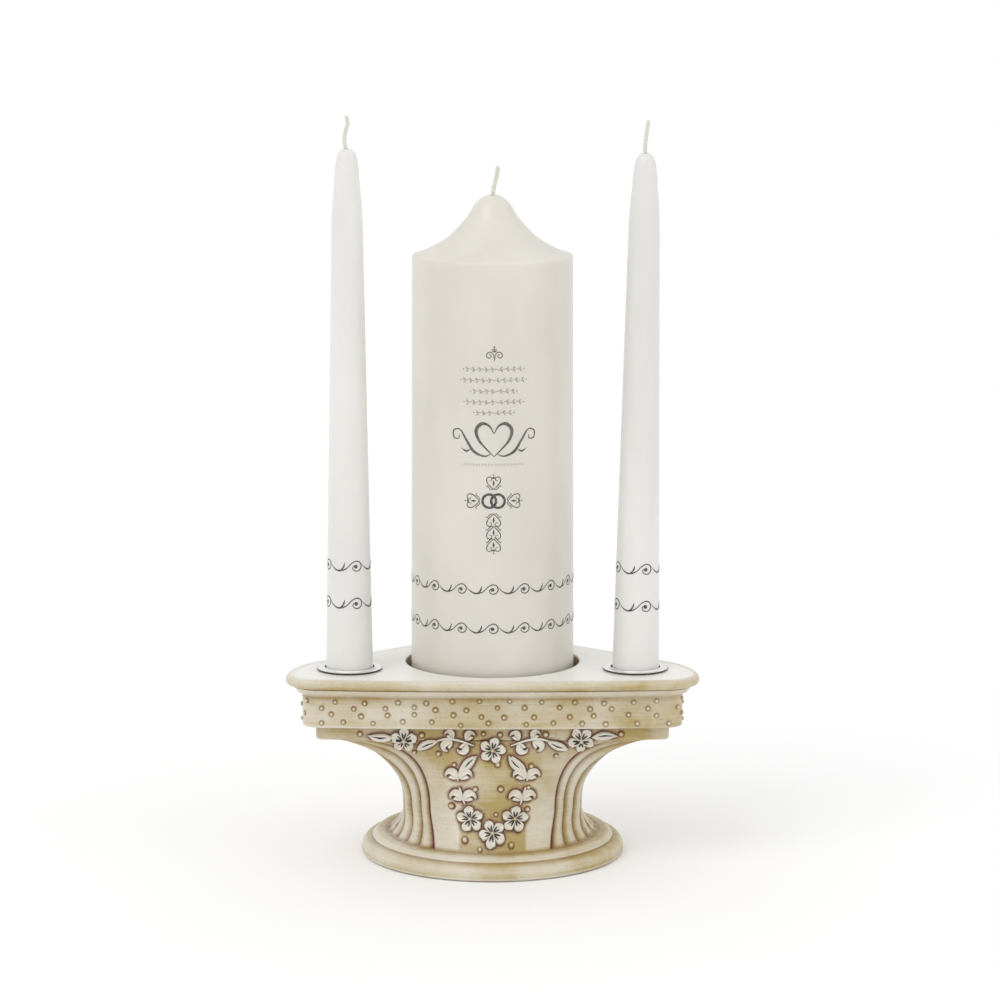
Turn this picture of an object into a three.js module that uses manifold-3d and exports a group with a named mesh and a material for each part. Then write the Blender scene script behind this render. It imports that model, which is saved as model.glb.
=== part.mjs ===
// Unity candle set: a cast stand with a centre pillar candle and two taper candles in metal cups.
// Millimetres, +Z up. The origin is on the pillar's axis, on the surface that the stand rests on.
// +X is to the right and -Y is the front.
import * as THREE from 'three';
import { mergeVertices } from 'three/addons/utils/BufferGeometryUtils.js';
import Module from 'manifold-3d';

const wasm = await Module();
wasm.setup();

// ---- Driving dimensions -------------------------------------------------

const GAP = 0.3; // between pieces that touch

// Stand heights, from the bottom up
const FELT_THICKNESS = 1.5;
const FELT_PROUD = 0.3; // of the foot's rim
const FOOT_HEIGHT = 10.2;
const TORUS_HEIGHT = 7.2;
const PEDESTAL_HEIGHT = 50.7; // from the foot to the band
const BAND_HEIGHT = 6.4;
const TRAY_HEIGHT = 23.9;
const SPIGOT_HEIGHT = 4;

// Round foot and waisted pedestal
const FOOT_RADIUS = 61.8;
const FELT_INSET = 8;
const GROOVE_INSET = 5;
const RING_INSET = 6.8;
const PEDESTAL_INSET = 12.5;
const FOOT_EDGE = 0.5; // drawn in at the foot's rim
const TORUS_WIDEST = 1.8; // above the rim
const TORUS_TURN = 72; // degrees of arc up to its top
const TORUS_STEPS = 4;
const GROOVE_WIDTH = 0.6;
const RING_EDGE = 0.6;
const RING_SHOULDER = 1;
const RING_SLOPE = 1.4;
const PEDESTAL_FILLET = 0.5;
const WAIST_RADIUS = 39.2;
const WAIST_RISE = 0.34; // share of the pedestal's height
const WAIST_FLARE = 0.1; // share of the flare already present at the waist
const SPIGOT_INSET = 10.7; // from the recess's wall

// Plain panels front and back, and reeds with flutes between them on each flank
const PANEL_HALF_WIDTH = 27.5;
const PANEL_SPREAD = 22; // extra degrees each side where the section has flared
const PANEL_SHARE = 35; // of the 180 stations from front to back, half a panel
const PANEL_LIP = 3; // stations in the rolled edge beside the first flute
const REEDS = 10;
const REED_STEPS = 4;
const PANEL_STEPS = 4;
const FLUTE_DEPTH = 1.8;
const FLUTE_RUNOUT = 4; // height under the band over which the flutes fade
const FLARE_POWER = 1.88; // roundness of the flare
const FLARE_LEVELS = 14;
const LEVEL_CROWDING = 1.25; // draws the levels together under the band

// Plan of the tray's nosing: a flat-fronted shield made of tangent arcs round the candles
const BACK_MARGIN = 12.3; // from the recess's wall to the nosing behind it
const FRONT_MARGIN = 11.1;
const SIDE_MARGIN = 29.3; // from a taper's centre to the nosing beside it
const SHOULDER_RADIUS = 41;
const CORNER_RADIUS = 16;
const BOW_RADIUS = 900;

// Tray mouldings, as insets from the nosing
const NOSING_RADIUS = 2.3;
const FILLET_INSET = 3.7;
const FRIEZE_INSET = 7.8;
const BAND_INSET = 13.9;
const FILLET_TOP = 5.2; // below the tray's top
const FILLET_HEIGHT = 2.8;
const COVE_HEIGHT = 1.7;
const FRIEZE_BEVEL = 0.8;
const FRIEZE_STEP = 0.6;
const COVE_BREAK = 0.6; // share of the cove's height
const FILLET_SHELF = 2;
const FILLET_EDGE = 0.3;
const FILLET_RETURN = 0.6;
const NOSING_START = -75; // degrees, from under the nosing
const NOSING_TURN = 27.5;
const BAND_EASE = 0.6;

// Pillar candle
const PILLAR_RADIUS = 38.1;
const PILLAR_DRAFT = 0.8;
const PILLAR_LENGTH = 228.6;
const PILLAR_CROWN = 27.5; // from the shoulder to the tip
const PILLAR_EDGE = 1.2;
const PILLAR_FOOT_BEVEL = 1;
const PILLAR_KNOTS = [[29, 0.11], [20.5, 0.3], [12.2, 0.62], [8, 0.86]]; // radius, share of the crown
const PILLAR_TIP_KNOTS = [[4.6, 0.9], [2.4, 0]]; // radius, below the tip
const PILLAR_WICK_BENDS = [[0.6, 0.35], [1.9, 0.7], [2.5, 1]]; // x, share of the free length
const PILLAR_WICK_RADIUS = 1.05;
const PILLAR_WICK_EXPOSED = 13.5;
const RECESS_CLEARANCE = 2.6;
const RECESS_DEPTH = 10;
const TAB_RADIUS = 10;
const TAB_THICKNESS = 0.5;
const TAB_NECK_RADIUS = 2.2;
const TAB_NECK_HEIGHT = 5;
const WICK_CLEARANCE = 0.3;

// Taper candles
const TAPER_SPACING = 16.3; // from the recess's wall to a well's wall
const TAPER_FORWARD = 17.5; // degrees forward of the X axis
const TAPER_RADIUS = 11.1;
const TAPER_DRAFT = 3.9;
const TAPER_NECK = 34; // from the tip to the neck
const TAPER_WICK_RADIUS = 0.95;
const TAPER_WICK_EXPOSED = 15;
const TAPER_FOOT_BEVEL = 0.6;
const TAPER_KNOTS = [[6.9, 27], [5.9, 15], [5.2, 7], [4.2, 2.6], [1.9, 0]]; // radius, below the tip
const LEFT_WICK_BENDS = [[-1, 0.35], [-0.4, 0.6], [0.5, 0.8], [-0.1, 1]];
const RIGHT_WICK_BENDS = [[-0.3, 0.3], [0.3, 0.65], [1, 1]];
const TAPERS = [
  { side: 'left', sign: -1, length: 254, lean: 0, bends: LEFT_WICK_BENDS },
  { side: 'right', sign: 1, length: 252, lean: 0.75, bends: RIGHT_WICK_BENDS },
];

// Pressed taper cups
const CUP_CLEARANCE = 0.4;
const CUP_WALL = 0.8;
const CUP_DEPTH = 13.2;
const FLANGE_WIDTH = 3;
const FLANGE_THICKNESS = 0.6;
const CUP_LIP = 0.6;
const WELL_CLEARANCE = 0.4;
const CUP_EDGE = 0.3;
const CUP_FOOT_BEVEL = 1;
const LIP_SLOPE = 0.5;
const MOUTH_EASE = 0.2;

// Facets
const ROUND_SEGMENTS = 48;
const SMALL_SEGMENTS = 32;
const WICK_SIDES = 8;
const WICK_STEPS = 12;
const CROWN_STEPS = 12;
const POINT_STEPS = 10;

// ---- Sizes that follow from them ----------------------------------------

const footTop = FELT_PROUD + FOOT_HEIGHT;
const waist = footTop + PEDESTAL_HEIGHT * WAIST_RISE;
const bandBottom = footTop + PEDESTAL_HEIGHT;
const bandTop = bandBottom + BAND_HEIGHT;
const trayBottom = bandTop + GAP;
const trayTop = trayBottom + TRAY_HEIGHT;
const recessFloor = trayTop - RECESS_DEPTH;
const pillarBase = recessFloor + GAP;
const flangeBottom = trayTop + GAP;

const pedestalRadius = FOOT_RADIUS - PEDESTAL_INSET;
const recessRadius = PILLAR_RADIUS + RECESS_CLEARANCE;
const spigotRadius = recessRadius - SPIGOT_INSET;
const pillarTopRadius = PILLAR_RADIUS - PILLAR_DRAFT;
const taperNeckRadius = TAPER_RADIUS - TAPER_DRAFT;
const cupInside = TAPER_RADIUS + CUP_CLEARANCE;
const cupOutside = cupInside + CUP_WALL;
const cupFloor = flangeBottom + FLANGE_THICKNESS - CUP_DEPTH;
const taperBase = cupFloor + GAP;
const wellRadius = cupOutside + WELL_CLEARANCE;
const wellFloor = cupFloor - CUP_WALL - GAP;
const flangeRadius = cupOutside + FLANGE_WIDTH;

const radians = THREE.MathUtils.degToRad;
const taperDistance = recessRadius + TAPER_SPACING + wellRadius;
const taperX = taperDistance * Math.cos(radians(TAPER_FORWARD));
const taperY = -taperDistance * Math.sin(radians(TAPER_FORWARD));

// ---- Materials ----------------------------------------------------------

function finish(color, roughness, metalness = 0) {
  return new THREE.MeshStandardMaterial({ color, roughness, metalness });
}

const ivoryResin = finish(0xe6dfbe, 0.35);
const feltCloth = finish(0x5f6a45, 0.95);
const silverPlate = finish(0xd9d9d6, 0.18, 1);
const pillarWax = finish(0xf5f1e4, 0.4);
const taperWax = finish(0xf3f3f0, 0.35);
const cottonWick = finish(0xe9e4d6, 0.9);
const tinPlate = finish(0xb9bbbd, 0.4, 1);

// ---- Helpers for solids -------------------------------------------------

function toSolid(geometry) {
  const bare = geometry.clone();
  bare.deleteAttribute('normal');
  bare.deleteAttribute('uv');
  const merged = mergeVertices(bare, 1e-4);
  return new wasm.Manifold(new wasm.Mesh({
    numProp: 3,
    vertProperties: new Float32Array(merged.attributes.position.array),
    triVerts: new Uint32Array(merged.index.array),
  }));
}

function toGeometry(solid) {
  const mesh = solid.getMesh();
  const geometry = new THREE.BufferGeometry();
  geometry.setAttribute('position', new THREE.BufferAttribute(mesh.vertProperties, 3));
  geometry.setIndex(new THREE.BufferAttribute(mesh.triVerts, 1));
  return geometry;
}

// A lathe turned about Z. The profile holds [radius, height] pairs.
function turned(profile, segments) {
  const points = profile.map(([radius, height]) => new THREE.Vector2(radius, height));
  return new THREE.LatheGeometry(points, segments).rotateX(Math.PI / 2);
}

// An upright cylinder between two heights.
function post(radius, bottom, top, segments = SMALL_SEGMENTS) {
  const height = top - bottom;
  const cylinder = new THREE.CylinderGeometry(radius, radius, height, segments);
  return cylinder.rotateX(Math.PI / 2).translate(0, 0, bottom + height / 2);
}

// A closed skin over level sections, bottom first. Each section holds { z, points }, with its
// points counter-clockwise from the front. A capped cylinder of the same layout carries them.
function loft(sections) {
  const sides = sections[0].points.length;
  const levels = sections.length - 1;
  const geometry = new THREE.CylinderGeometry(1, 1, levels, sides, levels).rotateX(Math.PI / 2);
  const position = geometry.attributes.position;
  for (let i = 0; i < position.count; i += 1) {
    const x = position.getX(i);
    const y = position.getY(i);
    const section = sections[Math.round(position.getZ(i) + levels / 2)];
    const turn = Math.atan2(x, -y) / (2 * Math.PI);
    const station = Math.round((turn + 1) * sides) % sides;
    const onAxis = Math.hypot(x, y) < 0.5;
    const point = onAxis ? new THREE.Vector2(0, 0) : section.points[station];
    position.setXYZ(i, point.x, point.y, section.z);
  }
  return geometry;
}

// ---- Plan outlines ------------------------------------------------------

function arc(centreX, centreY, radius, fromDegrees, toDegrees, steps) {
  const points = [];
  for (let i = 0; i < steps; i += 1) {
    const angle = radians(fromDegrees + ((toDegrees - fromDegrees) * i) / steps);
    points.push(new THREE.Vector2(
      centreX + radius * Math.cos(angle),
      centreY + radius * Math.sin(angle),
    ));
  }
  return points;
}

// The shield outline set in from the nosing. Every arc keeps its centre and loses the inset.
// The straight sides are the outer tangents of the back lobe and the two shoulders.
function shieldOutline(inset) {
  const backRadius = recessRadius + BACK_MARGIN;
  const front = recessRadius + FRONT_MARGIN;
  const shoulderX = taperX + SIDE_MARGIN - SHOULDER_RADIUS;
  const cornerX = taperX + SIDE_MARGIN - CORNER_RADIUS;
  const bowTurn = Math.acos(cornerX / (BOW_RADIUS - CORNER_RADIUS));
  const bowY = BOW_RADIUS - front;
  const shoulderY = bowY - (BOW_RADIUS - CORNER_RADIUS) * Math.sin(bowTurn);
  const between = Math.hypot(shoulderX, shoulderY);
  const sideTurn = Math.atan2(shoulderY, shoulderX)
    + Math.acos((backRadius - SHOULDER_RADIUS) / between);
  const bowAngle = THREE.MathUtils.radToDeg(bowTurn);
  const side = THREE.MathUtils.radToDeg(sideTurn);
  const corner = CORNER_RADIUS - inset;
  const shoulder = SHOULDER_RADIUS - inset;
  const bow = BOW_RADIUS - inset;
  return [
    ...arc(0, bowY, bow, -90, -bowAngle, 6),
    ...arc(cornerX, shoulderY, corner, -bowAngle, 0, 5),
    ...arc(shoulderX, shoulderY, shoulder, 0, side, 8),
    ...arc(0, 0, backRadius - inset, side, 180 - side, 16),
    ...arc(-shoulderX, shoulderY, shoulder, 180 - side, 180, 8),
    ...arc(-cornerX, shoulderY, corner, 180, 180 + bowAngle, 5),
    ...arc(0, bowY, bow, 180 + bowAngle, 270, 6),
  ];
}

// The point at a radius and an angle measured from the front towards +X.
function around(radius, degrees) {
  return new THREE.Vector2(radius * Math.sin(radians(degrees)), -radius * Math.cos(radians(degrees)));
}

// Distance from the origin to the outline, in a direction measured from the front towards +X.
function reach(outline, degrees) {
  const ray = around(1, degrees);
  for (let i = 0; i < outline.length; i += 1) {
    const start = outline[i];
    const edge = outline[(i + 1) % outline.length].clone().sub(start);
    const along = start.cross(ray) / ray.cross(edge);
    const distance = start.cross(edge) / ray.cross(edge);
    if (along >= 0 && along <= 1 && distance > 0) {
      return distance;
    }
  }
  throw new Error(`the outline has no edge at ${degrees} degrees`);
}

// ---- Stand --------------------------------------------------------------

function baseFelt() {
  return post(FOOT_RADIUS - FELT_INSET, 0, FELT_THICKNESS, ROUND_SEGMENTS);
}

// Stations round the pedestal, counted from 0 at the front to 180 at the back: plain panels front
// and back, with an equal fan of reeds on each flank.
function pedestalStations() {
  const flat = PANEL_SHARE - PANEL_LIP;
  const reedShare = (180 - 2 * PANEL_SHARE) / REEDS;
  const half = [];
  for (let i = 0; i <= PANEL_STEPS; i += 1) {
    half.push((flat * i) / PANEL_STEPS);
  }
  for (let i = 0; i <= REEDS * REED_STEPS; i += 1) {
    half.push(PANEL_SHARE + (reedShare * i) / REED_STEPS);
  }
  for (let i = PANEL_STEPS; i > 0; i -= 1) {
    half.push(180 - (flat * i) / PANEL_STEPS);
  }
  return [...half, ...half.map((station) => station + 180)];
}

// How far the section has spread from the round waist (0) to the band's outline (1).
function flare(z) {
  const rise = THREE.MathUtils.clamp((z - waist) / (bandBottom - waist), 0, 1);
  const curve = 1 - (1 - rise ** FLARE_POWER) ** (1 / FLARE_POWER);
  const below = THREE.MathUtils.smoothstep(z, footTop, waist);
  return WAIST_FLARE * below + (1 - WAIST_FLARE) * curve;
}

// Radius of the round core, easing from the foot to the waist.
function coreRadius(z) {
  const rise = THREE.MathUtils.clamp((z - footTop) / (waist - footTop), 0, 1);
  return WAIST_RADIUS + (pedestalRadius - WAIST_RADIUS) * (1 - rise) ** 2;
}

// Half the angle of a plain panel. It keeps its width down to the waist and spreads with the flare.
function panelAngle(z) {
  const level = Math.asin(PANEL_HALF_WIDTH / coreRadius(z));
  return THREE.MathUtils.radToDeg(level) + PANEL_SPREAD * flare(z);
}

// The angle from the front at which a station stands, for a panel of the given half-angle.
function stationAngle(station, panel) {
  const along = station % 180;
  const mirrored = Math.min(along, 180 - along);
  const acrossFlank = (mirrored - PANEL_SHARE) / (90 - PANEL_SHARE);
  const angle = mirrored < PANEL_SHARE
    ? (mirrored / PANEL_SHARE) * panel
    : panel + acrossFlank * (90 - panel);
  return station - along + (along > 90 ? 180 - angle : angle);
}

// Depth of the flute at a station: each reed is a round bulge between two grooves.
function fluteDepth(station) {
  const flank = (station % 180) - PANEL_SHARE;
  const fan = 180 - 2 * PANEL_SHARE;
  if (flank < 0 || flank > fan) {
    return 0;
  }
  const across = ((flank * REEDS) / fan) % 1;
  return FLUTE_DEPTH * (1 - Math.sqrt(1 - (2 * across - 1) ** 2));
}

function pedestalSections() {
  const stations = pedestalStations();
  const ring = (z, radius) => ({ z, points: stations.map((angle) => around(radius, angle)) });
  const grooveRadius = FOOT_RADIUS - GROOVE_INSET;
  const ringRadius = FOOT_RADIUS - RING_INSET;
  const torusTop = FELT_PROUD + TORUS_HEIGHT;
  const widest = FELT_PROUD + TORUS_WIDEST;
  const sections = [ring(FELT_PROUD, FOOT_RADIUS - FOOT_EDGE)];
  for (let i = 0; i <= TORUS_STEPS; i += 1) {
    const turn = radians((TORUS_TURN * i) / TORUS_STEPS);
    sections.push(ring(
      widest + (torusTop - widest) * Math.sin(turn),
      FOOT_RADIUS - (GROOVE_INSET - RING_SHOULDER) * (1 - Math.cos(turn)),
    ));
  }
  sections.push(ring(torusTop, grooveRadius));
  sections.push(ring(torusTop + GROOVE_WIDTH, grooveRadius));
  sections.push(ring(torusTop + 2 * GROOVE_WIDTH, ringRadius + RING_SHOULDER));
  sections.push(ring(footTop - RING_EDGE, ringRadius));
  sections.push(ring(footTop, ringRadius - RING_SLOPE));
  sections.push(ring(footTop, pedestalRadius + PEDESTAL_FILLET));
  const band = shieldOutline(BAND_INSET);
  const overlap = 0.2;
  const height = bandBottom - footTop - 2 * overlap;
  for (let i = 0; i <= FLARE_LEVELS; i += 1) {
    const share = 1 - (1 - i / FLARE_LEVELS) ** LEVEL_CROWDING;
    const z = footTop + overlap + height * share;
    const spread = flare(z);
    const core = coreRadius(z);
    const panel = panelAngle(z);
    const fade = 1 - THREE.MathUtils.smoothstep(z, bandBottom - FLUTE_RUNOUT, bandBottom);
    sections.push({
      z,
      points: stations.map((station) => {
        const angle = stationAngle(station, panel);
        const full = core + (reach(band, angle) - WAIST_RADIUS) * spread;
        return around(full - fluteDepth(station) * fade, angle);
      }),
    });
  }
  return sections;
}

function pedestalCasting() {
  const outline = shieldOutline(BAND_INSET);
  const band = loft([
    { z: bandBottom - 0.2, points: shieldOutline(BAND_INSET + BAND_EASE) },
    { z: bandBottom + BAND_EASE, points: outline },
    { z: bandTop, points: outline },
  ]);
  const spigot = post(spigotRadius, bandTop - 1, bandTop + SPIGOT_HEIGHT, ROUND_SEGMENTS);
  const body = toSolid(loft(pedestalSections())).add(toSolid(band)).add(toSolid(spigot));
  const feltRecess = post(FOOT_RADIUS - FELT_INSET + GAP, -1, FELT_THICKNESS + GAP, ROUND_SEGMENTS);
  return toGeometry(body.subtract(toSolid(feltRecess)));
}

function traySections() {
  const nosingZ = trayTop - NOSING_RADIUS;
  const filletTop = trayTop - FILLET_TOP;
  const filletBottom = filletTop - FILLET_HEIGHT;
  const friezeTop = filletBottom - COVE_HEIGHT;
  const profile = [
    [FRIEZE_INSET + FRIEZE_BEVEL, trayBottom],
    [FRIEZE_INSET, trayBottom + FRIEZE_BEVEL],
    [FRIEZE_INSET, friezeTop],
    [FRIEZE_INSET - FRIEZE_STEP, friezeTop + COVE_HEIGHT * COVE_BREAK],
    [FILLET_INSET + FILLET_SHELF, filletBottom],
    [FILLET_INSET + FILLET_SHELF - FILLET_EDGE, filletBottom + FILLET_EDGE],
    [FILLET_INSET, filletTop - FILLET_EDGE],
    [FILLET_INSET + FILLET_RETURN, filletTop],
  ];
  for (let angle = NOSING_START; angle <= 90; angle += NOSING_TURN) {
    const turn = radians(angle);
    profile.push([NOSING_RADIUS * (1 - Math.cos(turn)), nosingZ + NOSING_RADIUS * Math.sin(turn)]);
  }
  return profile.map(([inset, z]) => ({ z, points: shieldOutline(inset) }));
}

function trayCasting() {
  const above = trayTop + 1;
  let tray = toSolid(loft(traySections()));
  tray = tray.subtract(toSolid(post(recessRadius, recessFloor, above, ROUND_SEGMENTS)));
  for (const { sign } of TAPERS) {
    const well = post(wellRadius, wellFloor, above).translate(sign * taperX, taperY, 0);
    tray = tray.subtract(toSolid(well));
  }
  const socketTop = bandTop + SPIGOT_HEIGHT + GAP;
  const socket = post(spigotRadius + GAP, trayBottom - 1, socketTop, ROUND_SEGMENTS);
  return toGeometry(tray.subtract(toSolid(socket)));
}

// A pressed cup: floor, straight wall, flat flange and a small raised lip round the mouth.
function taperCup() {
  const flangeTop = flangeBottom + FLANGE_THICKNESS;
  const lipTop = flangeTop + CUP_LIP;
  return turned([
    [0, cupFloor - CUP_WALL],
    [cupOutside - CUP_FOOT_BEVEL, cupFloor - CUP_WALL],
    [cupOutside, cupFloor - CUP_WALL + CUP_FOOT_BEVEL],
    [cupOutside, flangeBottom],
    [flangeRadius - CUP_EDGE, flangeBottom],
    [flangeRadius, flangeBottom + FLANGE_THICKNESS / 2],
    [flangeRadius - CUP_EDGE, flangeTop],
    [cupOutside + LIP_SLOPE, flangeTop],
    [cupOutside, lipTop],
    [cupInside + MOUTH_EASE, lipTop],
    [cupInside, lipTop - CUP_EDGE],
    [cupInside, cupFloor],
    [0, cupFloor],
  ], SMALL_SEGMENTS);
}

// ---- Candles ------------------------------------------------------------

// Turned wax with a bore for its wick from end to end. The skin holds [radius, height] pairs.
function boredWax(skin, bore, segments) {
  const base = skin[0][1];
  const tip = skin[skin.length - 1][1];
  return turned([[bore, base], ...skin, [bore, tip], [bore, base]], segments);
}

// Points on a smooth curve through a few chosen [radius, height] pairs.
function eased(knots, steps) {
  const spline = new THREE.SplineCurve(knots.map(([r, z]) => new THREE.Vector2(r, z)));
  return spline.getPoints(steps).map((point) => [point.x, point.y]);
}

function pillarWaxBody() {
  const tip = pillarBase + PILLAR_LENGTH;
  const shoulder = tip - PILLAR_CROWN;
  const crown = eased([
    [pillarTopRadius - PILLAR_EDGE, shoulder + PILLAR_EDGE / 4],
    ...PILLAR_KNOTS.map(([radius, share]) => [radius, shoulder + PILLAR_CROWN * share]),
    ...PILLAR_TIP_KNOTS.map(([radius, below]) => [radius, tip - below]),
  ], CROWN_STEPS);
  const skin = [
    [PILLAR_RADIUS - PILLAR_FOOT_BEVEL, pillarBase],
    [PILLAR_RADIUS, pillarBase + PILLAR_FOOT_BEVEL],
    [pillarTopRadius, shoulder - PILLAR_EDGE],
    [pillarTopRadius - PILLAR_EDGE / 3, shoulder],
    ...crown,
  ];
  const wax = toSolid(boredWax(skin, PILLAR_WICK_RADIUS + WICK_CLEARANCE, ROUND_SEGMENTS));
  const plate = post(TAB_RADIUS + GAP, pillarBase - 1, pillarBase + TAB_THICKNESS + GAP);
  const neckTop = pillarBase + TAB_THICKNESS + TAB_NECK_HEIGHT + GAP;
  const neck = post(TAB_NECK_RADIUS + GAP, pillarBase - 1, neckTop);
  return toGeometry(wax.subtract(toSolid(plate)).subtract(toSolid(neck)));
}

// The sustainer: a stamped plate with a neck that grips the wick.
function wickTab() {
  const bore = PILLAR_WICK_RADIUS + WICK_CLEARANCE;
  const plateTop = pillarBase + TAB_THICKNESS;
  return turned([
    [bore, pillarBase],
    [TAB_RADIUS, pillarBase],
    [TAB_RADIUS, plateTop],
    [TAB_NECK_RADIUS, plateTop],
    [TAB_NECK_RADIUS, plateTop + TAB_NECK_HEIGHT],
    [bore, plateTop + TAB_NECK_HEIGHT],
    [bore, pillarBase],
  ], SMALL_SEGMENTS);
}

// A wick: a straight buried stretch and a free end that bends by [x, share of height] steps.
function wick(radius, base, tip, exposed, bends) {
  const overlap = 2;
  const buried = post(radius, base, tip, WICK_SIDES);
  const route = [
    new THREE.Vector3(0, 0, tip - overlap),
    new THREE.Vector3(0, 0, tip + 0.5),
    ...bends.map(([x, share]) => new THREE.Vector3(x, 0, tip + exposed * share)),
  ];
  const section = new THREE.Shape().absarc(0, 0, radius * 0.98, 0, Math.PI * 2);
  const free = new THREE.ExtrudeGeometry(section, {
    extrudePath: new THREE.CatmullRomCurve3(route),
    steps: WICK_STEPS,
    curveSegments: WICK_SIDES / 2,
  });
  return toGeometry(toSolid(buried).add(toSolid(free)));
}

function pillarWick() {
  const tip = pillarBase + PILLAR_LENGTH;
  return wick(PILLAR_WICK_RADIUS, pillarBase, tip, PILLAR_WICK_EXPOSED, PILLAR_WICK_BENDS);
}

function taperWaxBody(length) {
  const tip = taperBase + length;
  const point = eased([
    [taperNeckRadius, tip - TAPER_NECK],
    ...TAPER_KNOTS.map(([radius, below]) => [radius, tip - below]),
  ], POINT_STEPS);
  const skin = [
    [TAPER_RADIUS - TAPER_FOOT_BEVEL, taperBase],
    [TAPER_RADIUS, taperBase + TAPER_FOOT_BEVEL],
    ...point,
  ];
  return boredWax(skin, TAPER_WICK_RADIUS + WICK_CLEARANCE, SMALL_SEGMENTS);
}

function taperWick(length, bends) {
  return wick(TAPER_WICK_RADIUS, taperBase, taperBase + length, TAPER_WICK_EXPOSED, bends);
}

// ---- Assembly -----------------------------------------------------------

function part(name, geometry, material) {
  const mesh = new THREE.Mesh(geometry, material);
  mesh.name = name;
  return mesh;
}

const unityCandle = new THREE.Group();

const stand = new THREE.Group();
stand.add(part('base_felt', baseFelt(), feltCloth));
stand.add(part('pedestal_casting', pedestalCasting(), ivoryResin));
stand.add(part('tray_casting', trayCasting(), ivoryResin));
unityCandle.add(stand);

const pillar = new THREE.Group();
pillar.add(part('pillar_wax', pillarWaxBody(), pillarWax));
pillar.add(part('pillar_wick', pillarWick(), cottonWick));
pillar.add(part('pillar_wick_tab', wickTab(), tinPlate));
unityCandle.add(pillar);

for (const { side, sign, length, lean, bends } of TAPERS) {
  const seat = new THREE.Group();
  seat.position.set(sign * taperX, taperY, 0);
  seat.add(part(`${side}_taper_cup`, taperCup(), silverPlate));
  // The candle leans about the middle of its base.
  const pivot = new THREE.Group();
  pivot.position.z = taperBase;
  pivot.rotation.y = radians(lean);
  const candle = new THREE.Group();
  candle.position.z = -taperBase;
  candle.add(part(`${side}_taper_wax`, taperWaxBody(length), taperWax));
  candle.add(part(`${side}_taper_wick`, taperWick(length, bends), cottonWick));
  pivot.add(candle);
  seat.add(pivot);
  unityCandle.add(seat);
}

export default unityCandle;
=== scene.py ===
"""Unity candle set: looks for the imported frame, laid out as an add-on and run as a script."""

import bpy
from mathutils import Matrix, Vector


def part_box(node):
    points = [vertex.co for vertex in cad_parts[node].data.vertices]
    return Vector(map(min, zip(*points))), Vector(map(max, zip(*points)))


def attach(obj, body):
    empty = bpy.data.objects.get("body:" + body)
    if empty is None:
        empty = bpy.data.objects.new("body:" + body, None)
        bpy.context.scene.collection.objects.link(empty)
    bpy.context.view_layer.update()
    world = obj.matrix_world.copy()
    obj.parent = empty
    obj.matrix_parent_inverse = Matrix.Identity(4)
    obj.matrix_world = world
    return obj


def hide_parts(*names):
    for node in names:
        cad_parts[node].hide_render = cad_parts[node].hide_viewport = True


bl_info = {
    "name": "Unity Candle Set",
    "version": (1, 0, 0),
    "blender": (4, 5, 0),
    "location": "View3D > Sidebar > Unity Candle",
    "description": "Models the antiqued stand, the printed candles and the plated cups round the frame",
    "category": "Object",
}

import bisect
import math
import random

import bmesh
import bpy
from bpy.props import FloatProperty, FloatVectorProperty, IntProperty, PointerProperty
from mathutils import Matrix, Vector, kdtree

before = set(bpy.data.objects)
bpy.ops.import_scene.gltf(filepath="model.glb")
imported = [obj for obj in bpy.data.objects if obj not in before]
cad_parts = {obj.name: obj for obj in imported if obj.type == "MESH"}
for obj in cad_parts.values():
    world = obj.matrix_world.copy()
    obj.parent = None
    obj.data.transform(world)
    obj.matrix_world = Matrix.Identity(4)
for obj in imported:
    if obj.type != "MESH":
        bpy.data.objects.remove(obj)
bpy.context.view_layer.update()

MM = 0.001
TAU = 2 * math.pi
MARKS = ("wash", "stain", "ink")


# ---- The frame's own sizes, in millimetres ---------------------------------------------------

def low(node):
    """Lowest corner of a CAD node, in millimetres."""
    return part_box(node)[0] / MM


def high(node):
    """Highest corner of a CAD node, in millimetres."""
    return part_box(node)[1] / MM


def middle(node):
    """Middle of a CAD node, in millimetres."""
    return (low(node) + high(node)) / 2


TOP = high("tray_casting").z
TRAY_BOTTOM = low("tray_casting").z
HALF_WIDTH = high("tray_casting").x
NOSING_BACK = high("tray_casting").y
NOSING_FRONT = -low("tray_casting").y
FOOT_RADIUS = high("pedestal_casting").y
FOOT_BOTTOM = low("pedestal_casting").z
BAND_TOP = TRAY_BOTTOM - 0.3    # the two castings' joint line
SPIGOT_TOP = high("pedestal_casting").z
PILLAR_BASE = low("pillar_wax").z
PILLAR_TIP = high("pillar_wax").z
PILLAR_RADIUS = high("pillar_wax").x
CUP_CENTRES = {side: middle(f"{side}_taper_cup") for side in ("left", "right")}
FLANGE_RADIUS = (high("left_taper_cup").x - low("left_taper_cup").x) / 2
CUP_BOTTOM = low("left_taper_cup").z
CUP_TOP = high("left_taper_cup").z
GAP = 0.3                       # clearance between pieces that touch on the real object
TAPER_BASE = CUP_BOTTOM + 1.1   # foot of a taper, on the cup's floor
TAPER_DRAFT = 3.9               # how much slimmer a taper is at its neck
PILLAR_DRAFT = 0.8              # how much slimmer the pillar is at its shoulder
SPIGOT_RADIUS = 30.0
SOCKET_RADIUS = SPIGOT_RADIUS + GAP
CUP_WALL_RADIUS = 12.3
WELL_RADIUS = CUP_WALL_RADIUS + 0.4


# ---- Settings that a user would change -------------------------------------------------------

def size(name, description, default):
    """A length in millimetres."""
    return FloatProperty(name=name, description=description, default=default, min=0, subtype="NONE")


def colour(name, description, default):
    """A colour given as display values, as a paint card would."""
    return FloatVectorProperty(
        name=name, description=description, default=default, size=3, min=0, max=1, subtype="COLOR_GAMMA")


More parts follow.
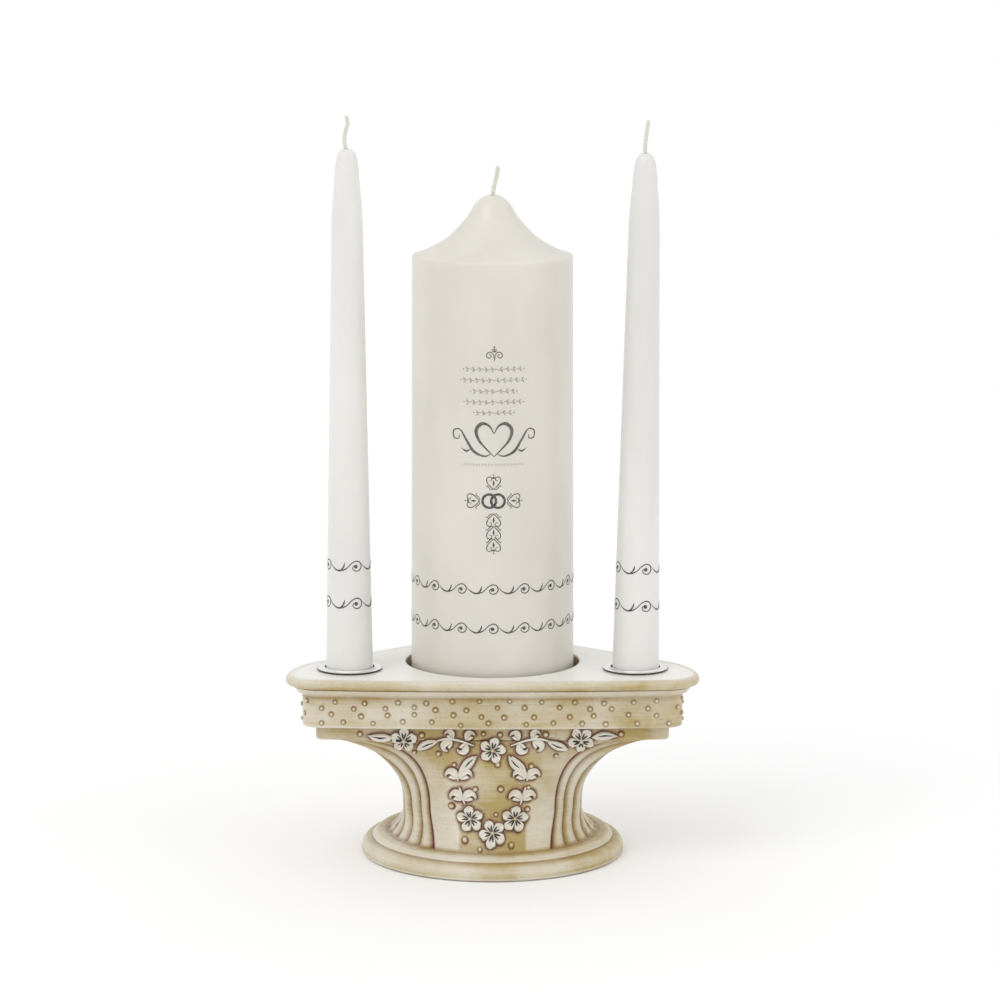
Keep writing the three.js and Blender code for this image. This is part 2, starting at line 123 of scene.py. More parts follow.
class StandSettings(bpy.types.PropertyGroup):
    """Mouldings of the cast stand, in millimetres."""

    band_height: size("Band height", "Height of the plain band under the tray", 6.4)
    band_inset: size("Band inset", "From the nosing in to the plain band", 13.9)
    frieze_inset: size("Frieze inset", "From the nosing in to the pearled frieze", 7.8)
    fillet_inset: size("Fillet inset", "From the nosing in to the fillet above the frieze", 3.7)
    nosing_radius: size("Nosing radius", "Rounding of the tray's edge", 2.3)
    shoulder_radius: size("Shoulder radius", "Rounding of the tray's back corners", 41)
    corner_radius: size("Corner radius", "Rounding of the tray's front corners", 16)
    bow_radius: size("Bow radius", "Radius of the tray's slightly bowed front", 900)
    recess_radius: size("Recess radius", "Recess that the pillar stands in", 40.7)
    recess_depth: size("Recess depth", "Depth of that recess", 10)
    torus_height: size("Torus height", "Lower moulding of the foot", 7.2)
    foot_height: size("Foot height", "Whole foot moulding", 10.2)
    pedestal_inset: size("Pedestal inset", "From the foot's edge in to the pedestal", 12.5)
    waist_radius: size("Waist radius", "Narrowest part of the pedestal", 39.2)
    panel_half: size("Panel half width", "Half the plain panel on the front", 27.5)
    flute_depth: size("Flute depth", "Depth of the flutes between the reeds", 1.8)
    reeds: IntProperty(name="Reeds", description="Reeds on each flank", default=10, min=2)


class CandleSettings(bpy.types.PropertyGroup):
    """Candles, cups and wicks, in millimetres."""

    pillar_crown: size("Pillar crown", "From the pillar's shoulder to its tip", 27.5)
    pillar_wick: size("Pillar wick", "Radius of the pillar's wick", 1.05)
    taper_neck: size("Taper neck", "From a taper's tip down to its neck", 34)
    taper_wick: size("Taper wick", "Radius of a taper's wick", 0.95)
    taper_lean: FloatProperty(
        name="Taper lean", description="How far the right taper leans out", default=math.radians(0.75),
        subtype="ANGLE")
    cup_wall: size("Cup wall", "Metal of the pressed cups", 0.8)
    ink_lift: size("Ink lift", "Thickness of the printed ink", 0.05)


class FinishSettings(bpy.types.PropertyGroup):
    """Colours of the finishes."""

    ivory: colour("Ivory", "Glazed resin on plain faces", (0.935, 0.932, 0.91))
    khaki: colour("Khaki", "Antique wash on the sides", (0.685, 0.602, 0.37))
    russet: colour("Russet", "Stain that lies in the grooves", (0.42, 0.175, 0.12))
    black: colour("Black", "Lines drawn in the relief", (0.05, 0.035, 0.03))
    pillar: colour("Pillar wax", "Pearly wax of the pillar", (0.862, 0.845, 0.805))
    taper: colour("Taper wax", "Cool white wax of the tapers", (0.89, 0.885, 0.87))
    print_ink: colour("Print", "Printed ornament", (0.19, 0.18, 0.175))
    cotton: colour("Cotton", "Wicks", (0.93, 0.91, 0.86))
    silver: colour("Silver", "Plated cups", (0.97, 0.97, 0.965))
    felt: colour("Felt", "Disc under the foot", (0.36, 0.40, 0.27))


def stand():
    """The stand's settings."""
    return bpy.context.scene.unity_stand


def candle():
    """The candles' settings."""
    return bpy.context.scene.unity_candle


def finish():
    """The finishes' settings."""
    return bpy.context.scene.unity_finish


# ---- Small maths -----------------------------------------------------------------------------

def mix(a, b, share):
    """The value a share of the way from a to b."""
    return a + (b - a) * share


def clamp(value, floor=0.0, ceiling=1.0):
    """The value kept between two limits."""
    return max(floor, min(ceiling, value))


def ease(start, end, value):
    """0 before start, 1 after end and a smooth step between them."""
    share = clamp((value - start) / (end - start))
    return share * share * (3 - 2 * share)


def bell(distance, width):
    """1 at no distance, falling smoothly to nothing."""
    return math.exp(-(distance / width) ** 2)


def smooth_path(points, steps):
    """Points along a smooth curve through the given points."""
    knots = [Vector(p) for p in points]
    knots = [2 * knots[0] - knots[1], *knots, 2 * knots[-1] - knots[-2]]
    path = []
    for a, b, c, d in zip(knots, knots[1:], knots[2:], knots[3:]):
        for k in range(steps):
            t = k / steps
            path.append(0.5 * (2 * b + (c - a) * t + (2 * a - 5 * b + 4 * c - d) * t * t
                               + (3 * b - a - 3 * c + d) * t ** 3))
    path.append(knots[-2])
    return path


def rounded(points, radius, steps=4):
    """The same outline with each inner corner taken off by a curve of about that radius."""
    knots = [Vector(p) for p in points]
    outline = [knots[0]]
    for before, corner, after in zip(knots, knots[1:], knots[2:]):
        reach_in = min(radius, (before - corner).length * 0.48, (after - corner).length * 0.48)
        start = corner + (before - corner).normalized() * reach_in
        end = corner + (after - corner).normalized() * reach_in
        for k in range(steps + 1):
            t = k / steps
            outline.append(start.lerp(corner, t).lerp(corner.lerp(end, t), t))
    outline.append(knots[-1])
    return outline


# ---- Mesh helpers ----------------------------------------------------------------------------

def skin(bm, rings, cap_start=True, cap_end=True, marks=None):
    """A skin over closed rings of points, made by extruding the first ring's edges to each next one."""
    layers = [bm.verts.layers.float.get(name) or bm.verts.layers.float.new(name) for name in MARKS]
    loop = bmesh.ops.create_circle(bm, segments=len(rings[0]), radius=1)["verts"]
    edges = [bm.edges.get(pair) for pair in zip(loop, loop[1:] + loop[:1])]
    if cap_start:
        bmesh.ops.edgeloop_fill(bm, edges=edges)
    for k, ring in enumerate(rings):
        if k:
            grown = bmesh.ops.extrude_edge_only(bm, edges=edges)["geom"]
            fresh = {item for item in grown if isinstance(item, bmesh.types.BMVert)}
            loop = [next(edge.other_vert(vert) for edge in vert.link_edges
                         if edge.other_vert(vert) in fresh) for vert in loop]
            edges = [bm.edges.get(pair) for pair in zip(loop, loop[1:] + loop[:1])]
        for j, (vert, place) in enumerate(zip(loop, ring)):
            vert.co = place
            if marks:
                for layer, value in zip(layers, marks[k][j]):
                    vert[layer] = value
    if cap_end:
        bmesh.ops.edgeloop_fill(bm, edges=edges)
    return edges


def turned(bm, profile, steps, centre=(0, 0)):
    """A profile of (radius, height) points spun once round an upright axis."""
    verts = [bm.verts.new((centre[0] + radius, centre[1], height)) for radius, height in profile]
    edges = [bm.edges.new(pair) for pair in zip(verts, verts[1:])]
    bmesh.ops.spin(
        bm, geom=verts + edges, cent=(centre[0], centre[1], 0), axis=(0, 0, 1), angle=TAU, steps=steps,
        use_merge=True)
    bmesh.ops.remove_doubles(bm, verts=bm.verts, dist=1e-4)


def make_piece(name, bm, material, body, replaces=(), crease=40):
    """Turns a bmesh in millimetres into a finished piece that rides on a body."""
    bmesh.ops.scale(bm, vec=(MM, MM, MM), verts=bm.verts)
    bmesh.ops.recalc_face_normals(bm, faces=bm.faces)
    mesh = bpy.data.meshes.new(name)
    bm.to_mesh(mesh)
    bm.free()
    mesh.shade_smooth()
    mesh.set_sharp_from_angle(angle=math.radians(crease))
    mesh.materials.append(material)
    piece = bpy.data.objects.new(name, mesh)
    bpy.context.scene.collection.objects.link(piece)
    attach(piece, body)
    if replaces:
        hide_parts(*replaces)
    return piece


# ---- Plan of the stand -----------------------------------------------------------------------

def arc(centre_x, centre_y, radius, start, end, steps):
    """Points along an arc, without its last one. Angles are in radians from +X."""
    turns = [mix(start, end, k / steps) for k in range(steps)]
    return [(centre_x + radius * math.cos(t), centre_y + radius * math.sin(t)) for t in turns]


def shield(inset):
    """The tray's plan set in from its nosing: tangent arcs, counter-clockwise from the front."""
    s = stand()
    quarter = math.pi / 2
    shoulder_x = HALF_WIDTH - s.shoulder_radius
    corner_x = HALF_WIDTH - s.corner_radius
    inner_bow = s.bow_radius - s.corner_radius
    bow_turn = math.acos(corner_x / inner_bow)
    bow_y = s.bow_radius - NOSING_FRONT
    side_y = bow_y - inner_bow * math.sin(bow_turn)
    apart = math.hypot(shoulder_x, side_y)
    facing = math.atan2(side_y, shoulder_x) + math.acos((NOSING_BACK - s.shoulder_radius) / apart)
    half = arc(0, bow_y, s.bow_radius - inset, -quarter, -bow_turn, 40)
    half += arc(corner_x, side_y, s.corner_radius - inset, -bow_turn, 0, 18)
    half += arc(shoulder_x, side_y, s.shoulder_radius - inset, 0, facing, 30)
    start = (shoulder_x + (s.shoulder_radius - inset) * math.cos(facing),
             side_y + (s.shoulder_radius - inset) * math.sin(facing))
    end = ((NOSING_BACK - inset) * math.cos(facing), (NOSING_BACK - inset) * math.sin(facing))
    half += [(mix(start[0], end[0], k / 20), mix(start[1], end[1], k / 20)) for k in range(20)]
    half += arc(0, 0, NOSING_BACK - inset, facing, quarter, 24)
    return half + [(0, NOSING_BACK - inset)] + [(-x, y) for x, y in reversed(half[1:])]


def level(outline, z):
    """A plan outline lifted to a height."""
    return [(x, y, z) for x, y in outline]


def round_ring(radius, z, turns, centre=(0, 0)):
    """A circle's points at the given angles, in radians from +X."""
    return [(centre[0] + radius * math.cos(t), centre[1] + radius * math.sin(t), z) for t in turns]


def full_turn(count):
    """Evenly spaced angles once round."""
    return [TAU * k / count for k in range(count)]


class Reach:
    """How far a plan outline reaches from the axis in each direction."""

    def __init__(self, outline):
        pairs = sorted((math.atan2(x, -y) % TAU, math.hypot(x, y)) for x, y in outline)
        self.turns = [p[0] for p in pairs] + [pairs[0][0] + TAU]
        self.reaches = [p[1] for p in pairs] + [pairs[0][1]]

    def at(self, turn):
        """The reach at an angle from the front, in radians."""
        turn = (turn - self.turns[0]) % TAU + self.turns[0]
        k = min(bisect.bisect_right(self.turns, turn), len(self.turns) - 1)
        span = self.turns[k] - self.turns[k - 1]
        return mix(self.reaches[k - 1], self.reaches[k], (turn - self.turns[k - 1]) / span)


# ---- Pedestal surface ------------------------------------------------------------------------

class Pedestal:
    """The waisted pedestal: plain panels front and back that spread with the flare, reeded flanks."""

    def __init__(self):
        s = stand()
        self.foot_top = FOOT_BOTTOM + s.foot_height
        self.band_bottom = BAND_TOP - s.band_height
        self.waist = mix(self.foot_top, self.band_bottom, 0.34)
        self.base_radius = FOOT_RADIUS - s.pedestal_inset
        self.waist_radius = s.waist_radius
        self.band = Reach(shield(s.band_inset))
        self.panel_half = s.panel_half
        self.flute = s.flute_depth
        self.reeds = s.reeds

    def flare(self, z):
        """How far the section has spread from the round waist (0) to the band's outline (1)."""
        power = 1.88
        rise = clamp((z - self.waist) / (self.band_bottom - self.waist))
        curve = 1 - (1 - rise ** power) ** (1 / power)
        return 0.1 * ease(self.foot_top, self.waist, z) + 0.9 * curve

    def core(self, z):
        """Radius of the round core."""
        rise = clamp((z - self.foot_top) / (self.waist - self.foot_top))
        return self.waist_radius + (self.base_radius - self.waist_radius) * (1 - rise) ** 2

    def panel(self, z):
        """Half the angle of a plain panel, in radians."""
        return math.asin(self.panel_half / self.core(z)) + math.radians(22) * self.flare(z)

    def point(self, turn, z, sunk=0.0):
        """A point of the surface at an angle from the front, sunk by a depth."""
        radius = self.core(z) + (self.band.at(turn) - self.waist_radius) * self.flare(z) - sunk
        return Vector((radius * math.sin(turn), -radius * math.cos(turn), z))

    def front(self, x, z):
        """The point of the front panel or the band at a sideways place and a height."""
        near, far = 0.0, math.pi / 2
        on_band = z > self.band_bottom
        for _ in range(16):
            turn = (near + far) / 2
            side = self.band.at(turn) * math.sin(turn) if on_band else self.point(turn, z).x
            near, far = (turn, far) if side < abs(x) else (near, turn)
        y = -self.band.at(near) * math.cos(near) if on_band else self.point(near, z).y
        return Vector((x, y, z))

    def face(self, x, z):
        """The front panel with the hollow under the band filled, as the relief is there."""
        start, end = self.band_bottom - 10, self.band_bottom + 0.6
        if z <= start or z >= end:
            return self.front(x, z)
        below, above = self.front(x, start), self.front(x, end)
        return Vector((x, mix(below.y, above.y, ((z - start) / (end - start)) ** 1.2), z))

    def outward(self, surface, x, z, step=0.4):
        """The direction straight out of a surface, felt over a short step each way."""
        across = surface(x + step, z) - surface(x - step, z)
        up = surface(x, z + step) - surface(x, z - step)
        return across.cross(up).normalized()

    def on_front(self, x, z, height):
        """A point that stands off the filled front by a height, or is sunk in the panel."""
        place = self.face(x, z) if height > 0 else self.front(x, z)
        return place + self.outward(self.face, x, z) * height

    def on_panel(self, x, z, height):
        """A point that stands off the panel itself by a height."""
        return self.front(x, z) + self.outward(self.front, x, z) * height

    def stations(self):
        """(share of panel or reed, number of the reed or None) once round a quarter from the front."""
        quarter = [(k / 56, None) for k in range(56)]
        for reed in range(self.reeds // 2):
            quarter += [((1 - math.cos(math.pi * k / 12)) / 2, reed) for k in range(12)]
        return quarter

    def ring(self, z, fade):
        """One level of the surface, with the depth of the flutes beside each point."""
        panel = self.panel(z)
        count = self.reeds // 2
        quarter = []
        for share, reed in self.stations():
            if reed is None:
                lip = clamp((share - 0.93) / 0.07)
                quarter.append((share * panel, self.flute * 0.3 * lip ** 2, 0.0))
            else:
                turn = mix(panel, math.pi / 2, (reed + share) / count)
                bulge = 1 - math.sqrt(max(0.0, 1 - (2 * share - 1) ** 2))
                quarter.append((turn, self.flute * bulge, bulge))
        side = (math.pi / 2, self.flute, 1.0)
        half = quarter + [side] + [(math.pi - turn, sunk, mark) for turn, sunk, mark in reversed(quarter[1:])]
        half_round = half + [(math.pi, 0.0, 0.0)] + [(TAU - turn, sunk, mark)
                                                     for turn, sunk, mark in reversed(half[1:])]
        return [(self.point(turn, z, sunk * fade), turn, mark) for turn, sunk, mark in half_round]


# ---- Relief on a surface ---------------------------------------------------------------------

# Cross-sections of relief: (side, height, extra width in mm, dark line) from edge to edge.
EDGE = ((-1, -0.5, 0.5, 1.0), (-1, 0.17, 0.42, 1.0), (-1, 0.2, 0.1, 0.85), (-0.96, 0.45, 0, 0.1))


def section(*crest):
    """A relief section with a dark outline on both sides of its crest."""
    other = tuple((-side, height, extra, dark) for side, height, extra, dark in reversed(EDGE))
    return EDGE + tuple((side, height, 0, 0) for side, height in crest) + other


DOME = section((-0.72, 0.82), (0, 1), (0.72, 0.82))
DISH = section((-0.8, 1), (0, 0.5), (0.8, 1))
KEEL = section((-0.55, 1), (0, 0.55), (0.55, 1))
INK = ((-1, -0.35, 0, 1), (-0.9, 1, 0, 1), (0.9, 1, 0, 1), (1, -0.35, 0, 1))


def stroke(bm, path, widths, height, shape, where, ink=None):
    """A raised stroke of varying width, laid along a path in a surface's own flat coordinates."""
    last = len(path) - 1
    knots = len(widths) - 1
    rings = []
    for k, place in enumerate(path):
        ahead = (path[min(k + 1, last)] - path[max(k - 1, 0)]).normalized()
        side = Vector((-ahead.y, ahead.x))
        at = k / last * knots
        first = min(int(at), knots - 1)
        half = mix(widths[first], widths[first + 1], at - first) / 2
        rise = 1.0 if ink is not None else min(1.0, half * 2.2 / height)
        rings.append([where(*(place + side * (half * t + math.copysign(extra, t))),
                            height * h * (rise if h > 0 else 1)) for t, h, extra, _ in shape])
    row = [(0.26 + dark + 0.3 * (1 - h) * (h > 0.4), dark, dark * 0.6) if ink is None else (0, 0, ink)
           for _, h, _, dark in shape]
    skin(bm, rings, marks=[row] * len(rings))


def turned_path(points, place, turn, size=1.0, hand=1):
    """Local points turned, sized, mirrored by hand and moved to a place."""
    cos, sin = math.cos(turn), math.sin(turn)
    path = []
    for x, y in points:
        x, y = x * size, y * size * hand
        path.append(Vector((place[0] + x * cos - y * sin, place[1] + x * sin + y * cos)))
    return path


def flower(bm, x, z, radius, turn, where):
    """Five dished petals round a small eye, with dark veins."""
    for petal in range(5):
        way = turn + TAU * petal / 5
        midrib = ((0.12, 0), (0.36, 0.01), (0.66, 0), (0.88, -0.01), (1.03, 0.02))
        path = smooth_path(turned_path(midrib, (x, z), way, radius), 2)
        widths = [radius * w for w in (0.2, 0.42, 0.66, 0.8, 0.78, 0.54, 0.18)]
        stroke(bm, path, widths, 1.25, DISH, where)
        for offset in (-0.26, 0.26):
            vein = turned_path([(0.2, 0), (0.62, 0)], (x, z), way + offset, radius)
            stroke(bm, [vein[0], vein[0].lerp(vein[1], 0.5), vein[1]], [0.6, 0.8, 0.36], 1.14,
                   INK, where, ink=1.0)
    bead_on(bm, x, z, 0.95, where, lift=0.75)


def bead_on(bm, x, z, radius, where, lift=0.0, skirt=1.0):
    """A small pearl half sunk in the surface, with a stained skirt round it."""
    steps = 12
    levels = [(1.9, -0.06, 0.0, 0.7), (1.5, 0.03, 0.3, 1.0), (1.12, 0.07, 1.0, 1.0), (1.0, 0.3, 0.8, 1.0),
              (0.86, 0.66, 0.3, 1.0), (0.6, 0.93, 0.06, 0.8), (0.2, 1.08, 0.0, 0.4)]
    rings = [[where(x + radius * r * math.cos(t), z + radius * r * math.sin(t), radius * h + lift)
              for t in full_turn(steps)] for r, h, _, _ in levels]
    marks = [[(wash, stain * skirt, 0.0)] * steps for _, _, stain, wash in levels]
    skin(bm, rings, marks=marks)


def curled_leaf(bm, x, z, turn, hand, size, where):
    """A plump leaf whose tip curls over, with a small second lobe."""
    main = turned_path([(0, 0), (1.3, 1.0), (2.9, 1.5), (4.2, 0.9), (4.7, -0.5), (4.3, -1.7)],
                       (x, z), turn, size, hand)
    widths = [0.5, 1.9, 3.1, 3.0, 1.9, 1.0, 0.4]
    stroke(bm, smooth_path(main, 3), [w * size for w in widths], 1.1, DISH, where)
    lobe = turned_path([(0.3, -0.2), (1.5, -0.6), (2.5, -0.8), (3.0, -1.5)], (x, z), turn, size, hand)
    stroke(bm, smooth_path(lobe, 3), [w * size for w in (0.5, 1.3, 1.5, 0.5)], 0.85, DOME, where)


def veined_leaf(bm, x, z, turn, length, width, where):
    """A pointed leaf with a keel each side of its vein and a dark line along half of it."""
    midrib = ((-0.5, 0), (-0.3, 0.02), (0, 0.04), (0.3, 0.02), (0.5, -0.02))
    path = turned_path(midrib, (x, z), turn, length)
    widths = [0.12, 0.62, 0.98, 0.86, 0.42, 0.06]
    stroke(bm, smooth_path(path, 3), [w * width for w in widths], 1.15, KEEL, where)
    vein = turned_path([(-0.24, 0.02), (0, 0.05), (0.26, 0.02)], (x, z), turn, length)
    stroke(bm, vein, [0.15, 0.7, 0.15], 1.0, INK, where, ink=1.0)


# ---- Materials -------------------------------------------------------------------------------

def linear(values):
    """A display colour as linear light, opaque."""
    return (*[v / 12.92 if v <= 0.04045 else ((v + 0.055) / 1.055) ** 2.4 for v in values], 1.0)


def material(name, roughness, metallic=0.0, **sockets):
    """A new Principled material with its constants set on the shader's own sockets."""
    made = bpy.data.materials.new(name)
    made.use_nodes = True
    shader = made.node_tree.nodes["Principled BSDF"]
    shader.inputs["Roughness"].default_value = roughness
    shader.inputs["Metallic"].default_value = metallic
    for socket, value in sockets.items():
        shader.inputs[socket.replace("_", " ")].default_value = value
    return made, made.node_tree, shader


def coordinates(tree, scale):
    """Object coordinates, scaled."""
    source = tree.nodes.new("ShaderNodeTexCoord")
    mapping = tree.nodes.new("ShaderNodeMapping")
    mapping.inputs["Scale"].default_value = scale
    tree.links.new(source.outputs["Object"], mapping.inputs["Vector"])
    return mapping.outputs["Vector"]


def noise_mask(tree, vector, scale, start, end, detail=4.0):
    """A noise that runs from 0 to 1 between two of its levels."""
    texture = tree.nodes.new("ShaderNodeTexNoise")
    texture.inputs["Scale"].default_value = scale
    texture.inputs["Detail"].default_value = detail
    spread = tree.nodes.new("ShaderNodeMapRange")
    spread.interpolation_type = "SMOOTHSTEP"
    spread.inputs["From Min"].default_value = start
    spread.inputs["From Max"].default_value = end
    tree.links.new(vector, texture.inputs["Vector"])
    tree.links.new(texture.outputs["Fac"], spread.inputs["Value"])
    return spread.outputs["Result"]


def calc(tree, operation, a, b):
    """A sum on two values or sockets, kept between 0 and 1."""
    node = tree.nodes.new("ShaderNodeMath")
    node.operation = operation
    node.use_clamp = True
    for socket, value in zip(node.inputs, (a, b)):
        if isinstance(value, (int, float)):
            socket.default_value = value
        else:
            tree.links.new(value, socket)
    return node.outputs["Value"]


def blend(tree, share, a, b):
    """A colour between two colours or sockets."""
    node = tree.nodes.new("ShaderNodeMix")
    node.data_type = "RGBA"
    for socket, value in ((node.inputs[0], share), (node.inputs[6], a), (node.inputs[7], b)):
        if isinstance(value, (int, float, tuple)):
            socket.default_value = value
        else:
            tree.links.new(value, socket)
    return node.outputs[2]


def bump(tree, shader, height, strength, distance):
    """Bumps the shader's normal with a height."""
    node = tree.nodes.new("ShaderNodeBump")
    node.inputs["Strength"].default_value = strength
    node.inputs["Distance"].default_value = distance
    tree.links.new(height, node.inputs["Height"])
    tree.links.new(node.outputs["Normal"], shader.inputs["Normal"])


def mark(tree, name):
    """A mark painted on the vertices."""
    node = tree.nodes.new("ShaderNodeAttribute")
    node.attribute_name = name
    return node.outputs["Fac"]


def glaze_group():
    """Shared finish of the stand: ivory glaze, antique wash, stain and black lines."""
    group = bpy.data.node_groups.new("Antique glaze", "ShaderNodeTree")
    face = group.interface
    for name in ("Wash", "Stain", "Ink"):
        face.new_socket(name, in_out="INPUT", socket_type="NodeSocketFloat")
    face.new_socket("Colour", in_out="OUTPUT", socket_type="NodeSocketColor")
    face.new_socket("Roughness", in_out="OUTPUT", socket_type="NodeSocketFloat")
    face.new_socket("Height", in_out="OUTPUT", socket_type="NodeSocketFloat")
    inlet = group.nodes.new("NodeGroupInput")
    outlet = group.nodes.new("NodeGroupOutput")
    tones = finish()
    place = coordinates(group, (1, 1, 1))
    cloud = noise_mask(group, place, 28, 0.3, 0.72)
    mottle = noise_mask(group, place, 150, 0.35, 0.75, 5)
    grain = noise_mask(group, coordinates(group, (60, 60, 900)), 1, 0.3, 0.7, 2)
    speck = noise_mask(group, place, 900, 0.62, 0.72, 1)
    uneven = calc(group, "ADD", calc(group, "MULTIPLY", cloud, 0.45), 0.62)
    wash = calc(group, "MULTIPLY", inlet.outputs["Wash"], uneven)
    wash = calc(group, "ADD", wash, calc(group, "MULTIPLY", calc(group, "MULTIPLY", grain, 0.16), wash))
    wash = calc(group, "ADD", wash, calc(group, "MULTIPLY", calc(group, "MULTIPLY", mottle, 0.14), wash))
    stain = calc(group, "MULTIPLY", inlet.outputs["Stain"],
                 calc(group, "ADD", calc(group, "MULTIPLY", mottle, 0.3), 0.86))
    colour_out = blend(group, wash, linear(tones.ivory), linear(tones.khaki))
    colour_out = blend(group, calc(group, "MULTIPLY", speck, calc(group, "MULTIPLY", wash, 0.25)),
                       colour_out, linear(tones.russet))
    colour_out = blend(group, stain, colour_out, linear(tones.russet))
    colour_out = blend(group, inlet.outputs["Ink"], colour_out, linear(tones.black))
    rough = calc(group, "ADD", 0.3, calc(group, "MULTIPLY", wash, 0.22))
    rough = calc(group, "ADD", rough, calc(group, "MULTIPLY", mottle, 0.07))
    group.links.new(colour_out, outlet.inputs["Colour"])
    group.links.new(rough, outlet.inputs["Roughness"])
    group.links.new(calc(group, "ADD", calc(group, "MULTIPLY", mottle, 0.5),
                         calc(group, "MULTIPLY", grain, 0.3)), outlet.inputs["Height"])
    return group


def ivory_resin():
    """Antiqued ivory glaze over cast resin."""
    made, tree, shader = material("Ivory resin", 0.4, Coat_Weight=0.25, Coat_Roughness=0.22)
    shader.inputs["IOR"].default_value = 1.5
    node = tree.nodes.new("ShaderNodeGroup")
    node.node_tree = glaze_group()
    for socket, name in (("Wash", "wash"), ("Stain", "stain"), ("Ink", "ink")):
        tree.links.new(mark(tree, name), node.inputs[socket])
    tree.links.new(node.outputs["Colour"], shader.inputs["Base Color"])
    tree.links.new(node.outputs["Roughness"], shader.inputs["Roughness"])
    bump(tree, shader, node.outputs["Height"], 0.22, 0.0002)
    return made


def waxy(name, tone, roughness, pearly):
    """Translucent wax with a faint cloudiness."""
    made, tree, shader = material(
        name, roughness, Subsurface_Weight=0.22, Subsurface_Scale=0.006, Coat_Weight=pearly,
        Coat_Roughness=0.3)
    shader.inputs["Subsurface Radius"].default_value = (1.0, 0.72, 0.5)
    place = coordinates(tree, (1, 1, 0.45))
    cloud = noise_mask(tree, place, 26, 0.3, 0.75, 3)
    fine = noise_mask(tree, place, 340, 0.3, 0.8, 3)
    dark = linear([v * 0.97 for v in tone])
    light = linear([min(1, v * 1.012) for v in tone])
    tree.links.new(blend(tree, cloud, dark, light), shader.inputs["Base Color"])
    rough = calc(tree, "ADD", roughness - 0.05, calc(tree, "MULTIPLY", fine, 0.12))
    tree.links.new(rough, shader.inputs["Roughness"])
    ripple = calc(tree, "ADD", calc(tree, "MULTIPLY", cloud, 0.7), calc(tree, "MULTIPLY", fine, 0.2))
    bump(tree, shader, ripple, 0.12, 0.0004)
    return made


def plain(name, tone, roughness, scale, depth, metallic=0.0, **sockets):
    """A finish of one colour with a fine grain of its own."""
    made, tree, shader = material(name, roughness, metallic, **sockets)
    grain = noise_mask(tree, coordinates(tree, (1, 1, 1)), scale, 0.3, 0.7, 4)
    tree.links.new(blend(tree, grain, linear([v * (1 - depth) for v in tone]), linear(tone)),
                   shader.inputs["Base Color"])
    rough = calc(tree, "ADD", roughness - 0.04, calc(tree, "MULTIPLY", grain, 0.1))
    tree.links.new(rough, shader.inputs["Roughness"])
    bump(tree, shader, grain, 0.15 if metallic else 0.4, 0.0001)
    return made


def silver_plate():
    """Bright plate, darkened where the ink mark says so: on the cups that mark is a painted shadow line round
    the flange's edge.
    """
    made, tree, shader = material("Silver plate", 0.2, 1.0)
    tone = finish().silver
    grain = noise_mask(tree, coordinates(tree, (1, 1, 1)), 160, 0.3, 0.7, 4)
    bright = blend(tree, grain, linear([v * 0.96 for v in tone]), linear(tone))
    # Painted shade: near-black where the flange's edge is marked, standing for the shadow line under it.
    plate = blend(tree, mark(tree, "ink"), bright, linear((0.06, 0.06, 0.06)))
    tree.links.new(plate, shader.inputs["Base Color"])
    tree.links.new(calc(tree, "ADD", 0.16, calc(tree, "MULTIPLY", grain, 0.08)), shader.inputs["Roughness"])
    return made


def printed():
    """Matt grey ink, thinner where the mark is light."""
    made, tree, shader = material("Printed ink", 0.5)
    tones = finish()
    grain = noise_mask(tree, coordinates(tree, (1, 1, 1)), 700, 0.3, 0.7, 4)
    evenness = calc(tree, "ADD", 0.85, calc(tree, "MULTIPLY", grain, 0.15))
    share = calc(tree, "MULTIPLY", mark(tree, "ink"), evenness)
    shade = blend(tree, share, linear(tones.pillar), linear(tones.print_ink))
    tree.links.new(shade, shader.inputs["Base Color"])
    tree.links.new(calc(tree, "ADD", 0.42, calc(tree, "MULTIPLY", grain, 0.12)), shader.inputs["Roughness"])
    return made


MADE = {}


def finish_of(name):
    """One of the object's materials, made the first time that it is asked for."""
    tones = finish()
    makers = {
        "resin": ivory_resin,
        "pillar": lambda: waxy("Pearl pillar wax", tones.pillar, 0.42, 0.45),
        "taper": lambda: waxy("Taper wax", tones.taper, 0.36, 0.3),
        "print": printed,
        "cotton": lambda: plain("Waxed cotton", tones.cotton, 0.7, 2600, 0.16),
        "silver": silver_plate,
        "tin": lambda: plain("Tin plate", (0.62, 0.61, 0.58), 0.34, 300, 0.1, 1.0),
        "felt": lambda: plain("Green felt", tones.felt, 0.95, 2200, 0.35, Sheen_Weight=0.4),
    }
    if name not in MADE:
        MADE[name] = makers[name]()
    return MADE[name]


def dress(node, name):
    """Gives a CAD node its material."""
    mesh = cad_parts[node].data
    mesh.materials.clear()
    mesh.materials.append(finish_of(name))


# ---- Stand -----------------------------------------------------------------------------------

STEM_PATHS = (
    ((25.6, 61.5), (21.0, 62.3), (15.5, 61.5), (8.6, 59.1)),
    ((9.0, 54.0), (13.5, 50.0), (15.5, 45.0), (16.0, 42.0)),
    ((15.3, 39.0), (14.0, 35.0), (12.8, 31.0)),
)
FLOWERS = (
    (-41, 61.5, 0.3), (0, 57, 0.1), (41, 61.5, 0.9), (-10.2, 24.3, 0.5), (10.2, 24.3, 0.2), (0, 18, 0.75),
)
VEINED_LEAVES = ((52.0, 63.0, 0.05, 12.0, 4.2), (30.0, 59.0, 2.67, 11.0, 4.8), (10.6, 50.6, 2.3, 10.0, 4.8))
CURLED_LEAVES = (
    (14.9, 43.0, 2.5, -1, 1.2), (16.0, 43.0, 0.5, 1, 1.2), (13.2, 33.0, 2.6, -1, 1.2),
    (13.8, 33.0, 0.45, 1, 1.2), (12.2, 61.6, 2.3, -1, 1.0), (18.4, 62.2, 0.9, 1, 0.95),
    (12.2, 60.4, -1.0, -1, 1.1), (18.6, 61.2, -0.8, 1, 1.15),
)
